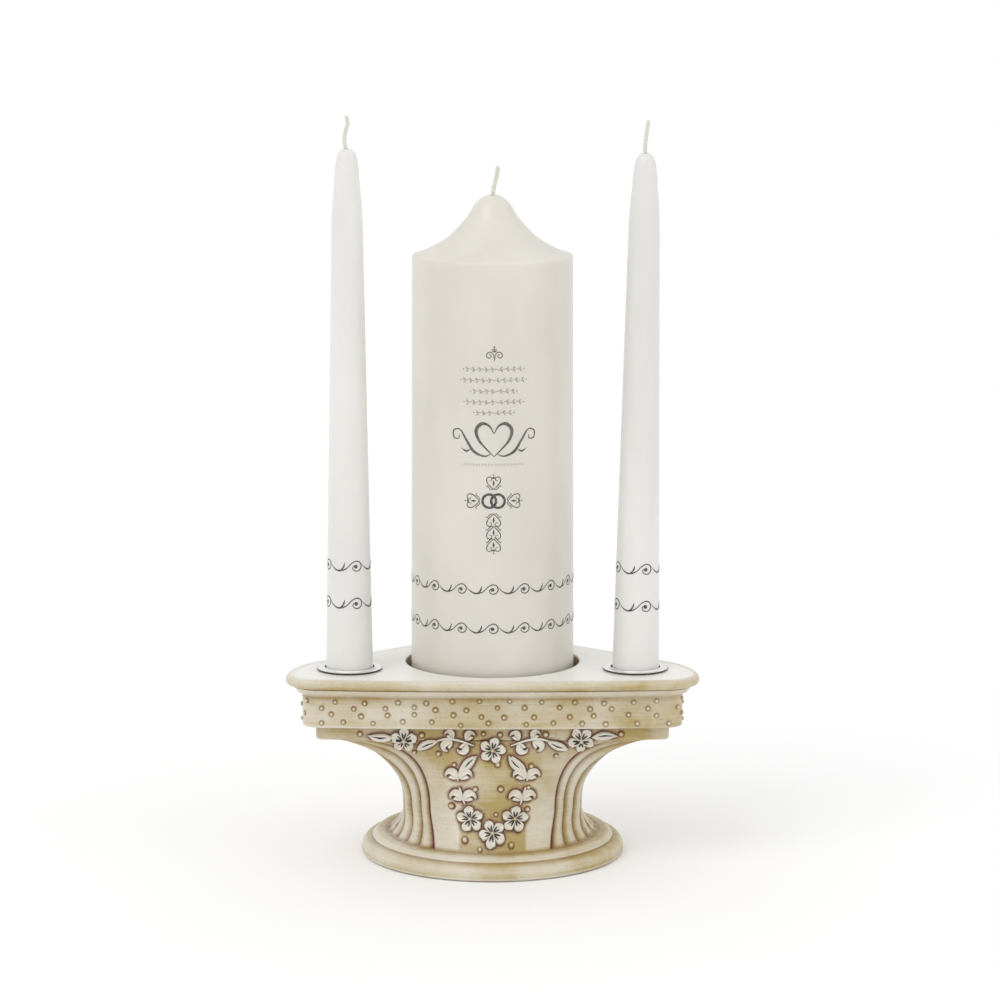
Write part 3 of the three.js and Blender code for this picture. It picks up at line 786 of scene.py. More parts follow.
PEARLS = (
    (-61.3, 64.2), (59.5, 64.2), (-4.2, 64.7), (3.5, 64.3), (2.4, 50.4), (-17.6, 49.7), (-7.9, 38.5),
    (-18.8, 29.8), (1.6, 26.6), (17.8, 49.0), (3.8, 38.7), (16.5, 38.9), (16.0, 28.5), (-12.7, 15.2),
    (-5.8, 11.8), (8.6, 13.3), (-32.7, 64.0), (-36.1, 54.7), (-24.9, 54.7), (24.6, 64.4), (29.4, 53.2),
)


def garland(pedestal):
    """The wreath and swag of flowers, leaves and stems on the front panel, and its pearls."""
    where = pedestal.on_front
    relief = bmesh.new()
    for hand in (1, -1):
        for path in STEM_PATHS:
            points = smooth_path([Vector((hand * x, z)) for x, z in path], 6)
            stroke(relief, points, [0.7, 1.1, 1.1, 0.6], 0.8, DOME, where)
        for x, z, turn, length, width in VEINED_LEAVES:
            facing = turn if hand > 0 else math.pi - turn
            veined_leaf(relief, hand * x, z, facing, length, width, where)
        for x, z, turn, side, scale in CURLED_LEAVES:
            facing = turn if hand > 0 else math.pi - turn
            curled_leaf(relief, hand * x, z, facing, side * hand, scale, where)
    for x, z, turn in FLOWERS:
        flower(relief, x, z, 5.9, turn, where)
    pearls = bmesh.new()
    for k, (x, z) in enumerate(PEARLS):
        bead_on(pearls, x, z, 1.15 + 0.18 * math.sin(2.1 * k), pedestal.on_panel)
    return relief, pearls


def foot_beads(pedestal):
    """Little clusters of pearls where each flank meets the foot."""
    bm = bmesh.new()
    for side in (1, -1):
        for turn, z in ((72, 13.4), (77, 11.9), (82, 13.8), (88, 12.2), (95, 13.0), (101, 11.9)):
            angle = math.radians(turn) * side

            def where(x, up, height, angle=angle):
                radius = pedestal.core(pedestal.foot_top + 1)
                return pedestal.point(angle + x / radius, up, 1.0 - height)
            bead_on(bm, 0, z, 1.05, where)
    return bm


def halo(bm, relief, reach_out, strength):
    """Stains the ground close round the relief."""
    tree = kdtree.KDTree(len(relief.verts))
    for k, vert in enumerate(relief.verts):
        tree.insert(vert.co, k)
    tree.balance()
    wash, stain = (bm.verts.layers.float[name] for name in ("wash", "stain"))
    for vert in bm.verts:
        if vert.co.y < 0 and abs(vert.co.x) < 66 and vert.co.z > 8:
            gap = max(0.0, tree.find(vert.co)[2] - 0.25)
            if gap < 4 * reach_out:
                vert[stain] = max(vert[stain], strength * bell(gap, reach_out))
                vert[wash] = max(vert[wash], bell(gap, 2.2 * reach_out))


def pedestal_marks(place, turn, groove, z, pedestal):
    """Wash and stain at a point of the pedestal."""
    x = place[0]
    front = min(turn, TAU - turn) < math.pi / 2
    fade = 1 - ease(pedestal.band_bottom - 6, pedestal.band_bottom, z)
    off = min(turn % math.pi, math.pi - turn % math.pi)
    panel = pedestal.panel(z)
    wash = 0.9
    stain = 0.0
    if off < panel:
        centre = 1 - ease(13.5, 16.5, abs(x)) if front else 0.6
        wash += 0.3 * ease(46, 61, z) + 0.3 * centre * (1 - ease(16, 40, z))
        wash -= 0.42 * (1 - centre) * (1 - ease(24, 54, z))
        stain = fade * ease(panel - 0.035, panel, off)
    else:
        first = 1 - ease(panel + 0.035, panel + 0.085, off)
        wash -= 0.38 * (1 - groove) * (1 - ease(44, 60, z))
        wash += 0.75 * groove * fade
        stain = fade * clamp(mix(1.3, 2.2, first) * groove - 0.1) * mix(0.6, 1.0, first)
    return (clamp(wash), clamp(stain), 0.0)


def mould_pedestal():
    """The pedestal casting with its foot, band and spigot, and the relief on it."""
    s = stand()
    pedestal = Pedestal()
    turns = [turn for _, turn, _ in pedestal.ring(pedestal.waist, 1)]
    compass = [turn - math.pi / 2 for turn in turns]
    felt = high("base_felt")
    rings, marks = [], []

    def add(points, wash, stain=0.0):
        rings.append(points)
        marks.append([(wash, stain, 0.0)] * len(points))

    def add_round(radius, z, wash, stain=0.0):
        add(round_ring(radius, z, compass), wash, stain)

    add_round(felt.x - 2, felt.z + 0.3, 0.2)
    add_round(felt.x + 0.3, felt.z + 0.3, 0.2)
    add_round(felt.x + 0.3, FOOT_BOTTOM + 0.3, 0.3)
    add_round(felt.x + 0.7, FOOT_BOTTOM, 0.3)
    add_round(FOOT_RADIUS - 1.2, FOOT_BOTTOM, 0.6)
    add_round(FOOT_RADIUS - 0.5, FOOT_BOTTOM + 0.3, 0.6)
    torus_top = FOOT_BOTTOM + s.torus_height
    widest = FOOT_BOTTOM + 1.8
    add_round(FOOT_RADIUS - 0.1, FOOT_BOTTOM + 1.0, 0.52)
    for k in range(13):
        bend = math.radians(72) * k / 12
        add_round(FOOT_RADIUS - 4 * (1 - math.cos(bend)), widest + (torus_top - widest) * math.sin(bend),
                  0.88 - 0.24 * math.sin(math.pi * (k / 12) ** 0.8))
    groove = FOOT_RADIUS - 5
    add_round(groove + 0.5, torus_top - 0.05, 0.85, 0.2)
    add_round(groove, torus_top + 0.1, 1.0, 0.3)
    add_round(groove, torus_top + 0.6, 0.9, 0.2)
    add_round(groove - 0.3, torus_top + 0.95, 0.4)
    add_round(groove - 0.8, torus_top + 1.3, 0.56)
    add_round(groove - 1.5, torus_top + 2.1, 0.56)
    add_round(groove - 2.1, torus_top + 2.6, 0.62)
    add_round(groove - 3.2, torus_top + 2.95, 0.8)
    add_round(groove - 4.4, pedestal.foot_top, 0.86)
    add_round(pedestal.base_radius + 2.2, pedestal.foot_top, 0.8, 0.1)
    add_round(pedestal.base_radius + 0.9, pedestal.foot_top + 0.02, 1.0, 0.35)
    levels = 92
    for k in range(levels + 1):
        share = 1 - (1 - k / levels) ** 1.25
        z = pedestal.foot_top + 0.15 + (pedestal.band_bottom - 0.3 - pedestal.foot_top) * share
        near_foot = 1 - ease(pedestal.foot_top, pedestal.foot_top + 1.6, z)
        fade = (1 - ease(pedestal.band_bottom - 4, pedestal.band_bottom, z)) * (1 - 0.35 * near_foot)
        ring = pedestal.ring(z, fade)
        rings.append([tuple(place) for place, _, _ in ring])
        row = [pedestal_marks(place, turn, depth, z, pedestal) for place, turn, depth in ring]
        marks.append([(clamp(wash + 0.5 * near_foot), clamp(stain + 0.25 * near_foot), ink)
                      for wash, stain, ink in row])
    edge = [(pedestal.band.at(turn) * math.sin(turn), -pedestal.band.at(turn) * math.cos(turn))
            for turn in turns]

    def band_ring(inward, z):
        return [(x * (1 - inward / math.hypot(x, y)), y * (1 - inward / math.hypot(x, y)), z)
                for x, y in edge]

    add(band_ring(1.1, pedestal.band_bottom - 0.1), 0.95)
    add(band_ring(0.5, pedestal.band_bottom + 0.15), 0.9)
    add(band_ring(0.12, pedestal.band_bottom + 0.6), 0.82)
    add(band_ring(0.0, pedestal.band_bottom + 1.2), 0.84)
    for k in range(1, 9):
        add(band_ring(0.0, mix(pedestal.band_bottom + 1.2, BAND_TOP - 0.3, k / 8)), 0.82 + 0.18 * k / 8,
            0.08 * k / 8)
    add(band_ring(0.3, BAND_TOP), 0.9, 0.1)
    add_round(SPIGOT_RADIUS + 1, BAND_TOP, 0.4)
    add_round(SPIGOT_RADIUS, BAND_TOP + 0.2, 0.3)
    add_round(SPIGOT_RADIUS, SPIGOT_TOP - 0.4, 0.3)
    add_round(SPIGOT_RADIUS - 0.4, SPIGOT_TOP, 0.3)
    bm = bmesh.new()
    skin(bm, rings, marks=marks)
    relief, pearls = garland(pedestal)
    halo(bm, relief, 0.7, 0.8)
    resin = finish_of("resin")
    make_piece("pedestal_body", bm, resin, "stand", ("pedestal_casting",), 50)
    make_piece("garland_relief", relief, resin, "stand")
    make_piece("garland_pearls", pearls, resin, "stand")
    make_piece("foot_pearls", foot_beads(pedestal), resin, "stand")


def mould_tray():
    """The tray casting: mouldings round it, the pillar's recess and the two wells in its top."""
    s = stand()
    nosing_z = TOP - s.nosing_radius
    f, g = s.frieze_inset, s.fillet_inset
    profile = [
        (f + 3.0, TRAY_BOTTOM, 0.5, 0), (f + 0.9, TRAY_BOTTOM, 0.35, 0),
        (f + 0.45, TRAY_BOTTOM + 0.1, 0.6, 0), (f + 0.1, TRAY_BOTTOM + 0.45, 0.4, 0),
        (f, TRAY_BOTTOM + 0.8, 0.62, 0), (f, TRAY_BOTTOM + 1.6, 0.78, 0),
        (f, TRAY_BOTTOM + 5, 0.66, 0), (f, TRAY_BOTTOM + 9, 0.62, 0), (f, TRAY_BOTTOM + 12.5, 0.72, 0),
        (f, TRAY_BOTTOM + 13.9, 0.86, 0.16), (f - 0.12, TRAY_BOTTOM + 14.5, 0.95, 0.3),
        (f - 0.6, TRAY_BOTTOM + 15.2, 0.7, 0.12), (f - 1.3, TRAY_BOTTOM + 15.7, 0.45, 0.03),
        (g + 2.2, TRAY_BOTTOM + 15.95, 0.5, 0.05), (g + 1.75, TRAY_BOTTOM + 16.1, 0.62, 0.1),
        (g + 1.5, TRAY_BOTTOM + 16.5, 0.5, 0), (g + 0.8, TRAY_BOTTOM + 17.5, 0.52, 0),
        (g + 0.25, TRAY_BOTTOM + 18.2, 0.4, 0), (g + 0.1, TRAY_BOTTOM + 18.5, 0.6, 0.05),
        (g + 0.5, TRAY_BOTTOM + 18.75, 1.0, 0.3), (g + 0.35, TRAY_BOTTOM + 19.0, 0.95, 0.25),
    ]
    for k in range(17):
        bend = math.radians(mix(-72, 90, k / 16))
        profile.append((s.nosing_radius * (1 - math.cos(bend)), nosing_z + s.nosing_radius * math.sin(bend),
                        0.36 + 0.58 * (1 - k / 16) ** 0.8, 0))
    profile += [(s.nosing_radius + 0.7, TOP, 0.2, 0), (s.nosing_radius + 3.5, TOP, 0.02, 0)]
    plan = shield(10)
    compass = [math.atan2(y, x) for x, y in plan]
    socket_top = SPIGOT_TOP + GAP
    rings = [round_ring(radius, z, compass) for radius, z in (
        (SOCKET_RADIUS - 1, socket_top), (SOCKET_RADIUS, socket_top),
        (SOCKET_RADIUS, TRAY_BOTTOM + 0.3), (SOCKET_RADIUS + 0.3, TRAY_BOTTOM))]
    marks = [[(0.4, 0, 0)] * len(plan)] * len(rings)
    for inset, z, wash, stain in profile:
        outline = shield(inset)
        rings.append(level(outline, z))
        # Darker towards the right-hand side (+X): partly painted shade, as if the light fell from the left,
        # and partly heavier wash.
        right_wash_and_shade = 0.34 if wash > 0.3 else 0.0
        marks.append([(clamp(wash + right_wash_and_shade * ease(30, 90, x)), stain, 0) for x, _ in outline])
    bm = bmesh.new()
    openings = skin(bm, rings, cap_end=False, marks=marks)
    openings += hollow(bm, (0, 0), s.recess_radius, TOP - s.recess_depth, 144)
    for side in ("left", "right"):
        openings += hollow(bm, CUP_CENTRES[side], WELL_RADIUS, CUP_BOTTOM - GAP, 80)
    bmesh.ops.triangle_fill(bm, use_beauty=True, edges=openings)
    make_piece("tray_body", bm, finish_of("resin"), "stand", ("tray_casting",), 50)
    make_piece("frieze_pearls", frieze_pearls(), finish_of("resin"), "stand")


def hollow(bm, centre, radius, floor, steps):
    """A round hollow sunk in the tray's top. Gives back the edges of its mouth."""
    turns = full_turn(steps)
    soft = 0.7
    sizes = [(radius - 1.2, floor, 1.0, 0.1), (radius - 0.5, floor + 0.1, 1.0, 0.25),
             (radius - 0.1, floor + 0.5, 1.0, 0.4), (radius, floor + 1.2, 0.8, 0.3),
             (radius, TOP - soft - 1.2, 0.7, 0.2), (radius, TOP - soft, 0.6, 0.05)]
    for k in range(1, 7):
        bend = math.pi / 2 * k / 6
        sizes.append((radius + soft * (1 - math.cos(bend)), TOP - soft * (1 - math.sin(bend)),
                      0.3 * (1 - k / 6), 0))
    sizes += [(radius + soft + 0.5, TOP, 0.02, 0), (radius + soft + 1.4, TOP, 0.02, 0)]
    rings = [round_ring(r, z, turns, centre) for r, z, _, _ in sizes]
    marks = [[(wash, stain, 0)] * steps for _, _, wash, stain in sizes]
    return skin(bm, rings, cap_end=False, marks=marks)


def frieze_pearls():
    """Four staggered, slightly uneven rows of pearls all round the frieze."""
    bm = bmesh.new()
    chance = random.Random(14)
    outline = shield(stand().frieze_inset)
    lengths = [0.0]
    for a, b in zip(outline, outline[1:] + outline[:1]):
        lengths.append(lengths[-1] + math.dist(a, b))

    def along(distance):
        distance %= lengths[-1]
        k = bisect.bisect_right(lengths, distance) - 1
        k = min(k, len(outline) - 1)
        a, b = outline[k], outline[(k + 1) % len(outline)]
        share = (distance - lengths[k]) / (lengths[k + 1] - lengths[k])
        out = Vector((b[1] - a[1], a[0] - b[0], 0)).normalized()
        return Vector((mix(a[0], b[0], share), mix(a[1], b[1], share), 0)), out

    def where(distance, z, height):
        place, out = along(distance)
        return place + out * height + Vector((0, 0, z))

    count = 32
    pitch = lengths[-1] / count
    for start, z in ((0.0, 70.8), (0.5, 74.2), (0.22, 77.6), (0.72, 80.9)):
        for k in range(count):
            at = (k + start + chance.uniform(-0.17, 0.17)) * pitch
            bead_on(bm, at, z + chance.uniform(-0.8, 0.8), chance.uniform(0.86, 1.06), where, skirt=0.6)
    return bm


# ---- Cups ------------------------------------------------------------------------------------

def press_cups():
    """The two pressed cups: floor, wall, flat flange and a raised lip round the mouth."""
    wall = candle().cup_wall
    for side in ("left", "right"):
        outside = CUP_WALL_RADIUS
        inside = outside - wall
        flange_bottom = TOP + GAP
        flange_top = flange_bottom + 0.6
        profile = rounded([
            (0, CUP_BOTTOM), (outside - 0.8, CUP_BOTTOM), (outside, CUP_BOTTOM + 1.2),
            (outside, flange_bottom),
            (FLANGE_RADIUS - 0.2, flange_bottom), (FLANGE_RADIUS, flange_bottom + 0.3),
            (FLANGE_RADIUS - 0.2, flange_top), (outside + 0.6, flange_top), (outside + 0.1, CUP_TOP),
            (inside + 0.1, CUP_TOP), (inside, CUP_TOP - 0.6), (inside, CUP_BOTTOM + 1.6),
            (inside - 0.8, CUP_BOTTOM + wall), (0, CUP_BOTTOM + wall)], 0.3)
        bm = bmesh.new()
        turned(bm, [tuple(p) for p in profile], 96, CUP_CENTRES[side])
        # Painted shade: the flange's outer edge is darkened to stand for the shadow line under it.
        paint_flange_shadow(bm, CUP_CENTRES[side], flange_top - 0.02)
        make_piece(f"{side}_cup_shell", bm, finish_of("silver"), f"{side}_cup",
                   (f"{side}_taper_cup",), 50)


def paint_flange_shadow(bm, centre, top):
    """Paints a dark shadow line on the outer edge of a cup's flange, held in its ink mark: painted shade."""
    layer = bm.verts.layers.float.new("ink")
    for vert in bm.verts:
        away = math.hypot(vert.co.x - centre.x, vert.co.y - centre.y)
        vert[layer] = 0.95 if away > FLANGE_RADIUS - 0.3 and vert.co.z < top else 0.0


# ---- Candles ---------------------------------------------------------------------------------

def knots_to_profile(knots, steps):
    """A smooth profile through (radius, height) pairs."""
    return [(p.x, p.y) for p in smooth_path([Vector(k) for k in knots], steps)]


def pour_pillar():
    """The pillar's wax: a slightly drafted drum, a soft shoulder and a concave crown up to the wick."""
    c = candle()
    crown = c.pillar_crown
    shoulder = PILLAR_TIP - crown
    top_radius = PILLAR_RADIUS - PILLAR_DRAFT
    bore = c.pillar_wick + 0.3
    tab = high("pillar_wick_tab")
    profile = [
        (bore, tab.z + 0.3), (2.5, tab.z + 0.3), (2.5, PILLAR_BASE + 0.8), (tab.x + 0.3, PILLAR_BASE + 0.8),
        (tab.x + 0.3, PILLAR_BASE), (PILLAR_RADIUS - 1.2, PILLAR_BASE),
        (PILLAR_RADIUS - 0.6, PILLAR_BASE + 0.12),
        (PILLAR_RADIUS - 0.2, PILLAR_BASE + 0.45), (PILLAR_RADIUS, PILLAR_BASE + 1.2),
    ]
    for k in range(1, 40):
        z = mix(PILLAR_BASE + 1.2, shoulder - 1.6, k / 39)
        profile.append((mix(PILLAR_RADIUS, top_radius, k / 39), z))
    profile += [(top_radius - 0.05, shoulder - 0.9), (top_radius - 0.2, shoulder - 0.3),
                (top_radius - 0.55, shoulder + 0.05), (top_radius - 1.0, shoulder + 0.15)]
    profile += knots_to_profile([
        (top_radius - 1.7, shoulder + 0.2), (29, shoulder + crown * 0.11), (20.5, shoulder + crown * 0.3),
        (12.2, shoulder + crown * 0.62), (8, shoulder + crown * 0.86), (4.6, PILLAR_TIP - 0.9),
        (2.6, PILLAR_TIP - 0.05)], 7)
    profile += [(2.1, PILLAR_TIP), (bore, PILLAR_TIP - 0.1)]
    bm = bmesh.new()
    turned(bm, profile + [profile[0]], 144)
    make_piece("pillar_candle", bm, finish_of("pillar"), "pillar", ("pillar_wax",), 50)


def dip_tapers():
    """The two taper candles with their long pointed tops."""
    c = candle()
    for side, body in (("left", "left_taper"), ("right", "right_taper")):
        low_corner, high_corner = low(f"{side}_taper_wax"), high(f"{side}_taper_wax")
        lean = 0 if side == "left" else c.taper_lean
        centre = CUP_CENTRES[side]
        base = TAPER_BASE
        tip = high_corner.z
        radius = (high_corner.y - low_corner.y) / 2
        bore = c.taper_wick + 0.3
        neck = tip - c.taper_neck
        profile = [(bore, base), (radius - 1.0, base), (radius - 0.5, base + 0.12),
                   (radius - 0.12, base + 0.4), (radius, base + 0.9)]
        for k in range(1, 36):
            profile.append((mix(radius, radius - TAPER_DRAFT, k / 36), mix(base + 0.9, neck, k / 36)))
        profile += knots_to_profile([
            (radius - TAPER_DRAFT, neck), (6.9, tip - 27), (5.9, tip - 15), (5.2, tip - 7), (4.2, tip - 2.6),
            (2.4, tip - 0.25)], 7)
        profile += [(1.9, tip), (bore, tip - 0.1), (bore, base)]
        bm = bmesh.new()
        turned(bm, profile, 96)
        tilt(bm, lean, base)
        bmesh.ops.translate(bm, vec=(centre.x, centre.y, 0), verts=bm.verts)
        make_piece(f"{side}_taper_candle", bm, finish_of("taper"), body,
                   (f"{side}_taper_wax",), 50)


def tilt(bm, lean, base):
    """Leans a piece to the right about its foot."""
    bmesh.ops.rotate(bm, cent=(0, 0, base), matrix=Matrix.Rotation(lean, 3, "Y"), verts=bm.verts)


def braid_wicks():
    """Braided cotton wicks: a round core with three strands wound round it, bent where it is free."""
    c = candle()
    makers = (
        ("pillar_wick", "pillar", (0, 0), PILLAR_BASE, PILLAR_TIP, 13.5, c.pillar_wick, 0,
         ((0, 0), (0.6, 0.35), (1.9, 0.7), (2.5, 1))),
        ("left_taper_wick", "left_taper", CUP_CENTRES["left"], TAPER_BASE, high("left_taper_wax").z, 15,
         c.taper_wick, 0, ((0, 0), (-1, 0.35), (-0.4, 0.6), (0.5, 0.8), (-0.1, 1))),
        ("right_taper_wick", "right_taper", CUP_CENTRES["right"], TAPER_BASE, high("right_taper_wax").z, 15,
         c.taper_wick, c.taper_lean, ((0, 0), (-0.3, 0.3), (0.3, 0.65), (1, 1))),
    )
    for node, body, centre, base, tip, free, radius, lean, bends in makers:
        buried = [Vector((0, 0, mix(base, tip - 2, k / 8))) for k in range(8)]
        route = buried + smooth_path([Vector((x, 0, tip - 2 + (free + 2) * share)) for x, share in bends], 16)
        sides = 18
        rings = []
        travelled = 0.0
        for k, place in enumerate(route):
            ahead = (route[min(k + 1, len(route) - 1)] - route[max(k - 1, 0)]).normalized()
            travelled += (place - route[max(k - 1, 0)]).length
            across = Vector((0, 1, 0))
            other = across.cross(ahead).normalized()
            tail = 1 - 0.35 * ease(len(route) - 3, len(route), k + 1)
            ring = []
            for t in full_turn(sides):
                strand = abs(math.sin(1.5 * (t - travelled * 1.1)))
                swell = radius * (0.86 + 0.14 * strand) * tail
                ring.append(place + (other * math.cos(t) + across * math.sin(t)) * swell)
            rings.append(ring)
        bm = bmesh.new()
        skin(bm, rings)
        tilt(bm, lean, base)
        bmesh.ops.translate(bm, vec=(centre[0], centre[1], 0), verts=bm.verts)
        make_piece(f"{node}_braid", bm, finish_of("cotton"), body, (node,), 60)


# ---- Printed ornament ------------------------------------------------------------------------

def swirl(centre, radius, start, turns, hand=1, shrink=0.22):
    """A spiral from outside in, in flat coordinates."""
    steps = max(8, int(abs(turns) * 16))
    path = []
    for k in range(steps + 1):
        share = k / steps
        turn = start + hand * TAU * turns * share
        reach_out = radius * (1 - (1 - shrink) * share ** 0.8)
        path.append(Vector((centre[0] + reach_out * math.cos(turn), centre[1] + reach_out * math.sin(turn))))
    return path


def spot(bm, x, z, radius, where, ink):
    """A round printed dot."""
    lift = candle().ink_lift
    steps = 14
    rings = [[where(x + radius * r * math.cos(t), z + radius * r * math.sin(t), lift * h)
              for t in full_turn(steps)] for r, h in ((1, -0.35), (0.94, 1), (0.4, 1))]
    skin(bm, rings, marks=[[(0.0, 0.0, ink)] * steps] * len(rings))


def pen(bm, path, widths, where, ink=1.0):
    """A printed line of varying width."""
    stroke(bm, path, widths, candle().ink_lift, INK, where, ink)


def running_scroll(bm, radius_at, z, centre_where, repeats, scale):
    """A band of running scrolls right round a candle."""
    pitch = TAU * radius_at(z) / repeats
    main = ((-12.1, 1.0), (-10.2, -0.8), (-8.0, -1.8), (-5.4, -1.4), (-3.6, -0.3), (-1.9, 1.45), (0.3, 2.45),
            (2.2, 1.5), (2.5, -0.5), (1.2, -1.9), (-0.6, -1.8), (-1.45, -0.7), (-1.0, 0.25), (-0.2, 0.4))
    widths = [0.12, 0.5, 0.75, 0.6, 0.4, 0.45, 0.5, 0.55, 0.5, 0.5, 0.45, 0.4, 0.35, 0.3]
    comma = ((-7.4, -1.75), (-6.0, -0.9), (-5.3, 0.3), (-4.9, 1.8))
    for k in range(repeats):
        offset = k * pitch

        def where(x, up, height, offset=offset):
            return centre_where(offset + x * scale, z + up * scale, height)
        pen(bm, smooth_path([Vector(p) for p in main], 3), widths, where)
        pen(bm, smooth_path([Vector(p) for p in comma], 3), [0.3, 0.6, 0.75, 0.15], where)
        spot(bm, 0, 0, 0.88, where, 1.0)


def heart_scroll(bm, place, turn, scale, where):
    """Two mirrored scrolls that rise from a point and curl in, with a bud and side curls."""
    for hand in (1, -1):
        outline = turned_path([(-2.6, 0.0), (-1.5, 1.3), (0.2, 2.7), (2.0, 3.0), (2.9, 1.9), (2.2, 0.8),
                               (1.2, 1.1), (1.3, 1.8)], place, turn, scale, hand)
        pen(bm, smooth_path(outline, 3), [0.3, 0.42, 0.46, 0.42, 0.36, 0.3, 0.24], where)
        curl = turned_path([(-2.6, 0.1), (-2.7, 1.2), (-1.7, 2.2), (-1.0, 2.9), (-1.6, 3.4)],
                           place, turn, scale, hand)
        pen(bm, smooth_path(curl, 3), [0.25, 0.36, 0.34, 0.2], where)
    bud = turned_path([(-1.3, 0), (0.1, 0), (1.4, 0)], place, turn, scale)
    pen(bm, bud, [0.1, 1.0, 0.12], where)


def tip_bud(bm, place, turn, scale, where):
    """A three-petalled bud with a dot at its end."""
    for bend in (-0.9, 0, 0.9):
        petal = turned_path([(0, 0), (0.6, 0), (1.2, 0)], place, turn + bend, scale)
        pen(bm, petal, [0.12, 0.6, 0.1], where)
    end = turned_path([(1.75, 0)], place, turn, scale)[0]
    spot(bm, end.x, end.y, 0.3 * scale, where, 1.0)


def filigree_cross(bm, centre_z, where):
    """A cross of scrollwork with two joined rings at its middle."""
    middle_x = 0.5
    arms = ((math.pi / 2, 12.6, 1), (0, 13.7, 1), (math.pi, 13.7, 1), (-math.pi / 2, 24.8, 3))
    for turn, reach_out, pairs in arms:
        way = Vector((math.cos(turn), math.sin(turn)))
        start = 5.2 if abs(way.y) > 0.5 else 7.4
        end = reach_out - 2.2
        for k in range(pairs):
            far = mix(start, end, (k + 1) / pairs) - 2.2
            place = Vector((middle_x, centre_z)) + way * far
            heart_scroll(bm, place, turn, 1.05, where)
        tip_bud(bm, Vector((middle_x, centre_z)) + way * end, turn, 1.0, where)
    for offset in (-2.0, 2.0):
        ring = [Vector((middle_x + offset + 3.1 * math.cos(t), centre_z + 3.1 * math.sin(t)))
                for t in full_turn(40)]
        pen(bm, ring + [ring[0]], [1.2, 1.2], where)


def finial(bm, z, where):
    """Two mirrored spirals under a three-petalled tip."""
    middle_x = 0.9
    for hand in (1, -1):
        path = [Vector((middle_x + hand * p.x, p.y)) for p in swirl((2.3, z), 2.1, math.pi * 1.1, 1.35, -1)]
        stem = [Vector((middle_x, z - 2.4)), Vector((middle_x + hand * 0.15, z - 1.2))]
        pen(bm, smooth_path(stem + path, 2), [0.3, 0.45, 0.5, 0.45, 0.4, 0.3], where, 0.9)
        curl = turned_path([(0, 0), (0.6, 0.9), (1.3, 1.1), (1.5, 0.7)], (middle_x, z + 1.7), 0.4)
        curl = [Vector((middle_x + hand * (p.x - middle_x), p.y)) for p in curl]
        pen(bm, smooth_path(curl, 3), [0.35, 0.35, 0.2], where, 0.8)
    tip_bud(bm, Vector((middle_x, z + 1.6)), math.pi / 2, 1.35, where)


def vine_row(bm, z, width, where, scale=1.0, ink=0.6):
    """A fine vine of paired leaves with a dot at each end."""
    count = max(3, round(width / (2.6 * scale)))
    pitch = width / count
    start = 0.6 - width / 2
    stem = [Vector((start + pitch * k / 4, z + 0.28 * scale * math.sin(math.pi * k / 4)))
            for k in range(4 * count + 1)]
    pen(bm, stem, [0.16 * scale, 0.26 * scale, 0.26 * scale, 0.16 * scale], where, ink)
    for k in range(count):
        for hand in (1, -1):
            away = 1 if k >= count / 2 else -1
            root = (start + pitch * (k + 0.5), z)
            facing = 0 if away > 0 else math.pi
            leaf = turned_path([(0, 0), (0.7, 0.16), (1.5, 0)], root, facing, scale)
            swung = turned_path([(p.x - root[0], p.y - root[1]) for p in leaf], root, 0.85 * hand * away)
            pen(bm, smooth_path(swung, 2), [0.12, 0.62 * scale, 0.1], where, ink)
    for end in (start - 0.8 * scale, start + width + 0.8 * scale):
        spot(bm, end, z, 0.3 * scale, where, ink)


def heart_flourish(bm, z, where):
    """A pen-drawn heart with swashes each side."""
    thick = [0.3, 0.9, 1.6, 1.7, 1.2, 0.7, 0.3]
    for hand in (1, -1):
        lobe = ((0, 2.6), (2.2, 6.2), (5.6, 7.2), (8.2, 4.2), (7.0, -0.4), (3.4, -4.6), (0, -8.0))
        path = [Vector((0.7 + hand * x, z + y)) for x, y in lobe]
        pen(bm, smooth_path(path, 6), thick, where, 0.95)
        swash = ((1.0, -6.6), (4.6, -7.8), (9.4, -5.6), (12.8, -0.6), (16.0, 4.2), (19.2, 3.6), (19.0, 0.4),
                 (16.6, 0.1), (16.4, 1.9))
        path = [Vector((0.7 + hand * x, z + y)) for x, y in swash]
        pen(bm, smooth_path(path, 6), [0.2, 0.8, 1.3, 1.1, 0.6, 0.7, 0.6, 0.5, 0.35], where, 0.95)
        leaf = ((10.6, -4.6), (13.0, -5.6), (15.4, -4.2))
        path = [Vector((0.7 + hand * x, z + y)) for x, y in leaf]
        pen(bm, smooth_path(path, 4), [0.15, 1.1, 0.1], where, 0.95)


